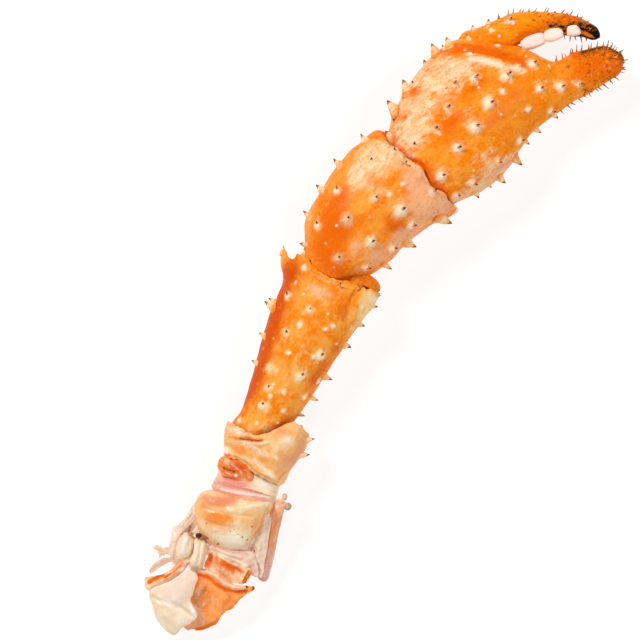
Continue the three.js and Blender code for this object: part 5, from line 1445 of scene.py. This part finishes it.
def mottle_group():
    """The shell's colours: two oranges in soft blotches, then every mask's own colour laid over them.

    Each mask's edge is broken up by a noise: the mask plus the noise less a half, through a soft step. The
    pale mask's noise is drawn out along the segment, so that cream runs out into orange in streaks."""
    tree = bpy.data.node_groups.new("mottled_shell", "ShaderNodeTree")
    t = Tree(tree)
    for label, value in SHELL_INPUTS.items():
        kind = "NodeSocketColor" if isinstance(value, tuple) else "NodeSocketFloat"
        tree.interface.new_socket(label, in_out="INPUT", socket_type=kind).default_value = socket_value(value)
    for label, kind in (("Color", "Color"), ("Roughness", "Float"), ("Height", "Float"), ("Cover", "Float")):
        tree.interface.new_socket(label, in_out="OUTPUT", socket_type="NodeSocket" + kind)
    sockets = tree.nodes.new("NodeGroupInput").outputs
    given = {label: Field(t, sockets[label]) for label in SHELL_INPUTS}
    where = t.where()
    large = t.noise(where, 85, 4, 0.6, 0.6)
    middle = t.noise(where, 260, 4, 0.6, 0.4)
    fine = t.noise(where, 900, 3, 0.6)
    grain = t.noise(where, 2200, 2, 0.5)
    streak = t.noise(t.drawn_out(given["Turn"], 0.24), 620, 4, 0.62, 0.5)
    thread = t.noise(t.drawn_out(given["Turn"], 0.16), 1500, 3, 0.6, 0.3)

    def broken(name, noise, amount, low, high):
        return (t.mask(name) + (noise - 0.5) * amount).step(low, high)

    cream = broken("pale", streak * 0.45 + middle * 0.55, given["Streaks"], 0.16, 0.94)
    cream = cream * (streak * 0.6 + thread * 0.4).step(0.36, 0.56, 0.8)
    cream = cream * (large * 0.5 + middle * 0.5).step(0.38, 0.52, 0.66)
    milky = t.mix((streak * 0.5 + middle * 0.5).step(0.5, 0.62) * 0.42, given["Cream"], given["Wart"])
    dim = (fine * 0.4 + streak * 0.6).step(0.52, 0.38) * given["Grain"]
    dust = (grain * 0.5 + fine * 0.5).step(0.47, 0.36) * middle.step(0.36, 0.56) * given["Grain"]
    rust = (fine * 0.6 + middle * 0.4).step(0.52, 0.4) * t.mask("pits")
    pits = t.spots(560.0, 0.44, 0.5, 0.6) * t.mask("pits")
    flecks = (thread * 0.6 + fine * 0.4).step(0.5, 0.58) * t.mask("pits")
    dark = t.mask("dark") + (fine - 0.5) * 0.4 - flecks * 0.5
    dark = dark.combined("MAXIMUM", pits * 0.5)
    shade = given["Orange"]
    for share, over in (
        ((large + middle * 0.6).step(0.7, 0.92), given["Light"]),
        ((fine * 0.55 + thread * 0.45).step(0.5, 0.6) * 0.6, given["Light"]),
        (broken("deep", middle * 0.6 + streak * 0.4, 1.0, 0.08, 0.96) * 0.96, given["Deep"]),
        ((middle * 0.5 + fine * 0.5).step(0.5, 0.62) * 0.34, given["Orange"]),
        (cream, milky),
        (broken("rosy", middle, 1.0, 0.1, 1.0) * 0.85, given["Rosy"]),
        (dim * 0.5, given["Deep"]),
        (dust * 0.5, given["Tan"]),
        (t.spots(290.0, 0.32, 0.1, 0.24) * given["Specks"] * 0.5, given["Cream"]),
        # the white of the warts, and of the painted highlights laid with the same mask
        (broken("wart", fine, 0.35, 0.12, 0.95) * 0.96, given["Wart"]),
        (rust * 0.26, given["Tan"]),
        # golden spots in the pitted patches: painted highlights on the small bumps
        (t.spots(430.0, 0.46, 0.3, 0.5) * t.mask("pits") * 0.8, given["Light"]),
        (dark.step(0.1, 0.4), given["Tan"]),
        (dark.step(0.46, 0.78), given["Dark"]),
    ):
        shade = t.mix(share, shade, over)
    height = fine * 0.5 + grain * 0.22 + (thread * 0.25 - pits * 0.8) - rust * 0.5
    rough, cover = middle.step(0.2, 0.8, 0.32, 0.52), (middle * 0.6 + streak * 0.4).step(0.36, 0.62)
    out = tree.nodes.new("NodeGroupOutput").inputs
    for label, made in (("Color", shade), ("Roughness", rough), ("Height", height), ("Cover", cover)):
        tree.links.new(made.socket, out[label])
    return tree


def shell_material(name, inputs, coat=0.03, soft=0.0, thin=None):
    """A Principled shell: the mottled_shell group's colour, roughness and bump, under a thin wet coat.

    thin is the least cover of a see-through skin, and soft how much light passes inside the flesh."""
    material = bpy.data.materials.new(name)
    material.use_nodes = True
    tree = material.node_tree
    tree.nodes.clear()
    t = Tree(tree)
    paint = tree.nodes.new("ShaderNodeGroup")
    paint.node_tree = bpy.data.node_groups.get("mottled_shell") or mottle_group()
    for socket, value in inputs.items():
        paint.inputs[socket].default_value = value
    shade, rough, height, cover = (Field(t, socket) for socket in paint.outputs)
    bumped = t.add("ShaderNodeBump", Height=height, Strength=BUMP, Distance=BUMP_DEPTH)
    shader = t.add(
        "ShaderNodeBsdfPrincipled", Base_Color=shade, Roughness=rough, Normal=bumped,
        Specular_IOR_Level=GLOSS, Coat_Weight=coat, Coat_Roughness=COAT_ROUGHNESS,
        Subsurface_Weight=soft, Subsurface_Scale=SOFT_DEPTH,
    )
    if thin is not None:
        tree.links.new(cover.step(0.0, 1.0, thin, 0.96).socket, shader.socket.node.inputs["Alpha"])
    tree.links.new(shader.socket, tree.nodes.new("ShaderNodeOutputMaterial").inputs[0])
    return material


# ---------------------------------------------------------------- settings, operators and panel


def shell_colour(label, about):
    """A colour setting whose default is the shell's own."""
    return bpy.props.FloatVectorProperty(
        name=label, description=about, default=colour(*SHELL_INPUTS[label]), size=3, subtype="COLOR",
    )


class CrabSettings(bpy.types.PropertyGroup):
    """The lamps' power and the shell's colours, which a user would change."""

    lamp: bpy.props.FloatProperty(
        name="Lamp", description="Power of the large lamps", default=1.0, min=0.0, subtype="FACTOR",
    )
    light: shell_colour("Light", "Colour of the shell's lighter blotches")
    orange: shell_colour("Orange", "Colour of the shell")
    deep: shell_colour("Deep", "Colour of the shell's dark patches")
    cream: shell_colour("Cream", "Colour of the shell's pale patches")


class PieceOperator:
    """What every operator that makes pieces has in common."""

    bl_options = {"REGISTER", "UNDO"}

    def build(self, context, *finishes):
        """Makes each finish from the settings' colours, a segment's turn and its changes, then its pieces."""
        made = context.scene.crab_leg
        labels = ("light", "orange", "deep", "cream")
        common = {label.title(): (*getattr(made, label), 1.0) for label in labels}
        for name in finishes:
            slot, nodes, along, shader, changes = FINISHES[name]
            inputs = {**common, "Turn": -math.radians(SEGMENTS[along]["turn"])}
            inputs.update({label: socket_value(value) for label, value in changes.items()})
            material = shell_material(name, inputs, **shader)
            for node in nodes:
                (build_segment if node in SEGMENTS else build_leaves)(node, material, slot)
        return {"FINISHED"}


class CRAB_OT_claw(PieceOperator, bpy.types.Operator):
    """Makes the palm, and the moving finger with its teeth"""

    bl_idname = "crab.claw"
    bl_label = "Claw"

    def execute(self, context):
        return self.build(context, "palm_shell", "finger_shell")


class CRAB_OT_arm(PieceOperator, bpy.types.Operator):
    """Makes the wrist, the upper arm and the knobs at their joints"""

    bl_idname = "crab.arm"
    bl_label = "Arm"

    def execute(self, context):
        return self.build(context, "wrist_shell", "upper_arm_shell", "joint_knob", "raw_knob")


class CRAB_OT_shoulder(PieceOperator, bpy.types.Operator):
    """Makes the pale segments at the shoulder and the skin between them"""

    bl_idname = "crab.shoulder"
    bl_label = "Shoulder"

    def execute(self, context):
        return self.build(context, "arm_base_shell", "hip_shell", "joint_skin")


class CRAB_OT_torn(PieceOperator, bpy.types.Operator):
    """Makes the torn plates, skins and meat at the shoulder end"""

    bl_idname = "crab.torn"
    bl_label = "Torn pieces"

    def execute(self, context):
        return self.build(context, "torn_shell", "torn_skin", "crab_meat", "pink_shell")


class CRAB_OT_stage(PieceOperator, bpy.types.Operator):
    """Makes the floor, the lamps and the camera"""

    bl_idname = "crab.stage"
    bl_label = "Stage"

    def execute(self, context):
        if context.scene.camera:
            raise RuntimeError("The scene already has a camera")
        make_floor(context.scene)
        make_lights(context.scene, context.scene.crab_leg.lamp)
        make_camera(context.scene)
        return {"FINISHED"}


class CRAB_PT_panel(bpy.types.Panel):
    """The pieces and settings of the crab leg"""

    bl_label = "King crab claw leg"
    bl_idname = "CRAB_PT_panel"
    bl_space_type = "VIEW_3D"
    bl_region_type = "UI"
    bl_category = "Crab leg"

    def draw(self, context):
        for operator in OPERATORS:
            self.layout.operator(operator.bl_idname)
        for name in CrabSettings.__annotations__:
            self.layout.prop(context.scene.crab_leg, name)


def view_point(right, up, height):
    """A point of the scene from the middle of the view: right and up as the view shows them."""
    cos, sin = math.cos(VIEW_TURN), math.sin(VIEW_TURN)
    return Vector((VIEW_MIDDLE[0] + right * cos + up * sin, VIEW_MIDDLE[1] - right * sin + up * cos, height))


def make_floor(scene):
    """A white square that glows a little, so that the shadows on it stay pale."""
    mesh = bpy.data.meshes.new("floor")
    corners = [(x * FLOOR_SIZE / 2, y * FLOOR_SIZE / 2, 0) for x, y in ((-1, -1), (1, -1), (1, 1), (-1, 1))]
    mesh.from_pydata(corners, [], [(0, 1, 2, 3)])
    floor = bpy.data.objects.new("floor", mesh)
    scene.collection.objects.link(floor)
    material = bpy.data.materials.new("floor")
    material.use_nodes = True
    shader = material.node_tree.nodes["Principled BSDF"]
    for socket, value in (
        ("Base Color", (FLOOR_COLOUR, FLOOR_COLOUR, FLOOR_COLOUR, 1.0)), ("Roughness", 0.9),
        ("Specular IOR Level", 0.1), ("Emission Color", (1.0, 1.0, 1.0, 1.0)),
        ("Emission Strength", FLOOR_GLOW),
    ):
        shader.inputs[socket].default_value = value
    mesh.materials.append(material)


def make_lights(scene, power_share):
    """The white world, and the square lamps that face the middle of the view."""
    scene.view_settings.view_transform = "Standard"
    world = bpy.data.worlds.new("studio")
    world.use_nodes = True
    world.node_tree.nodes["Background"].inputs["Color"].default_value = (1.0, 1.0, 1.0, 1.0)
    world.node_tree.nodes["Background"].inputs["Strength"].default_value = WORLD_LIGHT
    scene.world = world
    for name, right, up, height, size, power in LAMPS:
        data = bpy.data.lights.new(name, "AREA")
        data.energy = power * power_share
        data.size = size
        lamp = bpy.data.objects.new(name, data)
        lamp.location = view_point(right, up, height)
        lamp.rotation_euler = (view_point(0, 0, 0) - lamp.location).to_track_quat("-Z", "Y").to_euler()
        scene.collection.objects.link(lamp)


def make_camera(scene):
    """A camera that looks straight down, its right and up being the view's."""
    data = bpy.data.cameras.new("camera")
    data.sensor_width = SENSOR
    data.lens = SENSOR * (VIEW_DISTANCE - VIEW_LEVEL) / VIEW_WIDTH
    camera = bpy.data.objects.new("camera", data)
    right, up = (view_point(*step, 0) - view_point(0, 0, 0) for step in ((1, 0), (0, 1)))
    turn = Matrix(((right.x, up.x, 0, 0), (right.y, up.y, 0, 0), (0, 0, 1, 0), (0, 0, 0, 1)))
    camera.matrix_world = Matrix.Translation(view_point(0, 0, VIEW_DISTANCE)) @ turn
    scene.collection.objects.link(camera)
    scene.camera = camera


OPERATORS = (CRAB_OT_claw, CRAB_OT_arm, CRAB_OT_shoulder, CRAB_OT_torn, CRAB_OT_stage)
CLASSES = (CrabSettings, *OPERATORS, CRAB_PT_panel)


def register():
    """Adds the classes and the scene's settings."""
    for made in CLASSES:
        bpy.utils.register_class(made)
    bpy.types.Scene.crab_leg = bpy.props.PointerProperty(type=CrabSettings)


def unregister():
    """Takes away what register added."""
    del bpy.types.Scene.crab_leg
    for made in reversed(CLASSES):
        bpy.utils.unregister_class(made)


def main():
    """Builds the leg and its stage."""
    register()
    bpy.ops.crab.claw()
    bpy.ops.crab.arm()
    bpy.ops.crab.shoulder()
    bpy.ops.crab.torn()
    bpy.ops.crab.stage()


if __name__ == "__main__":
    main()
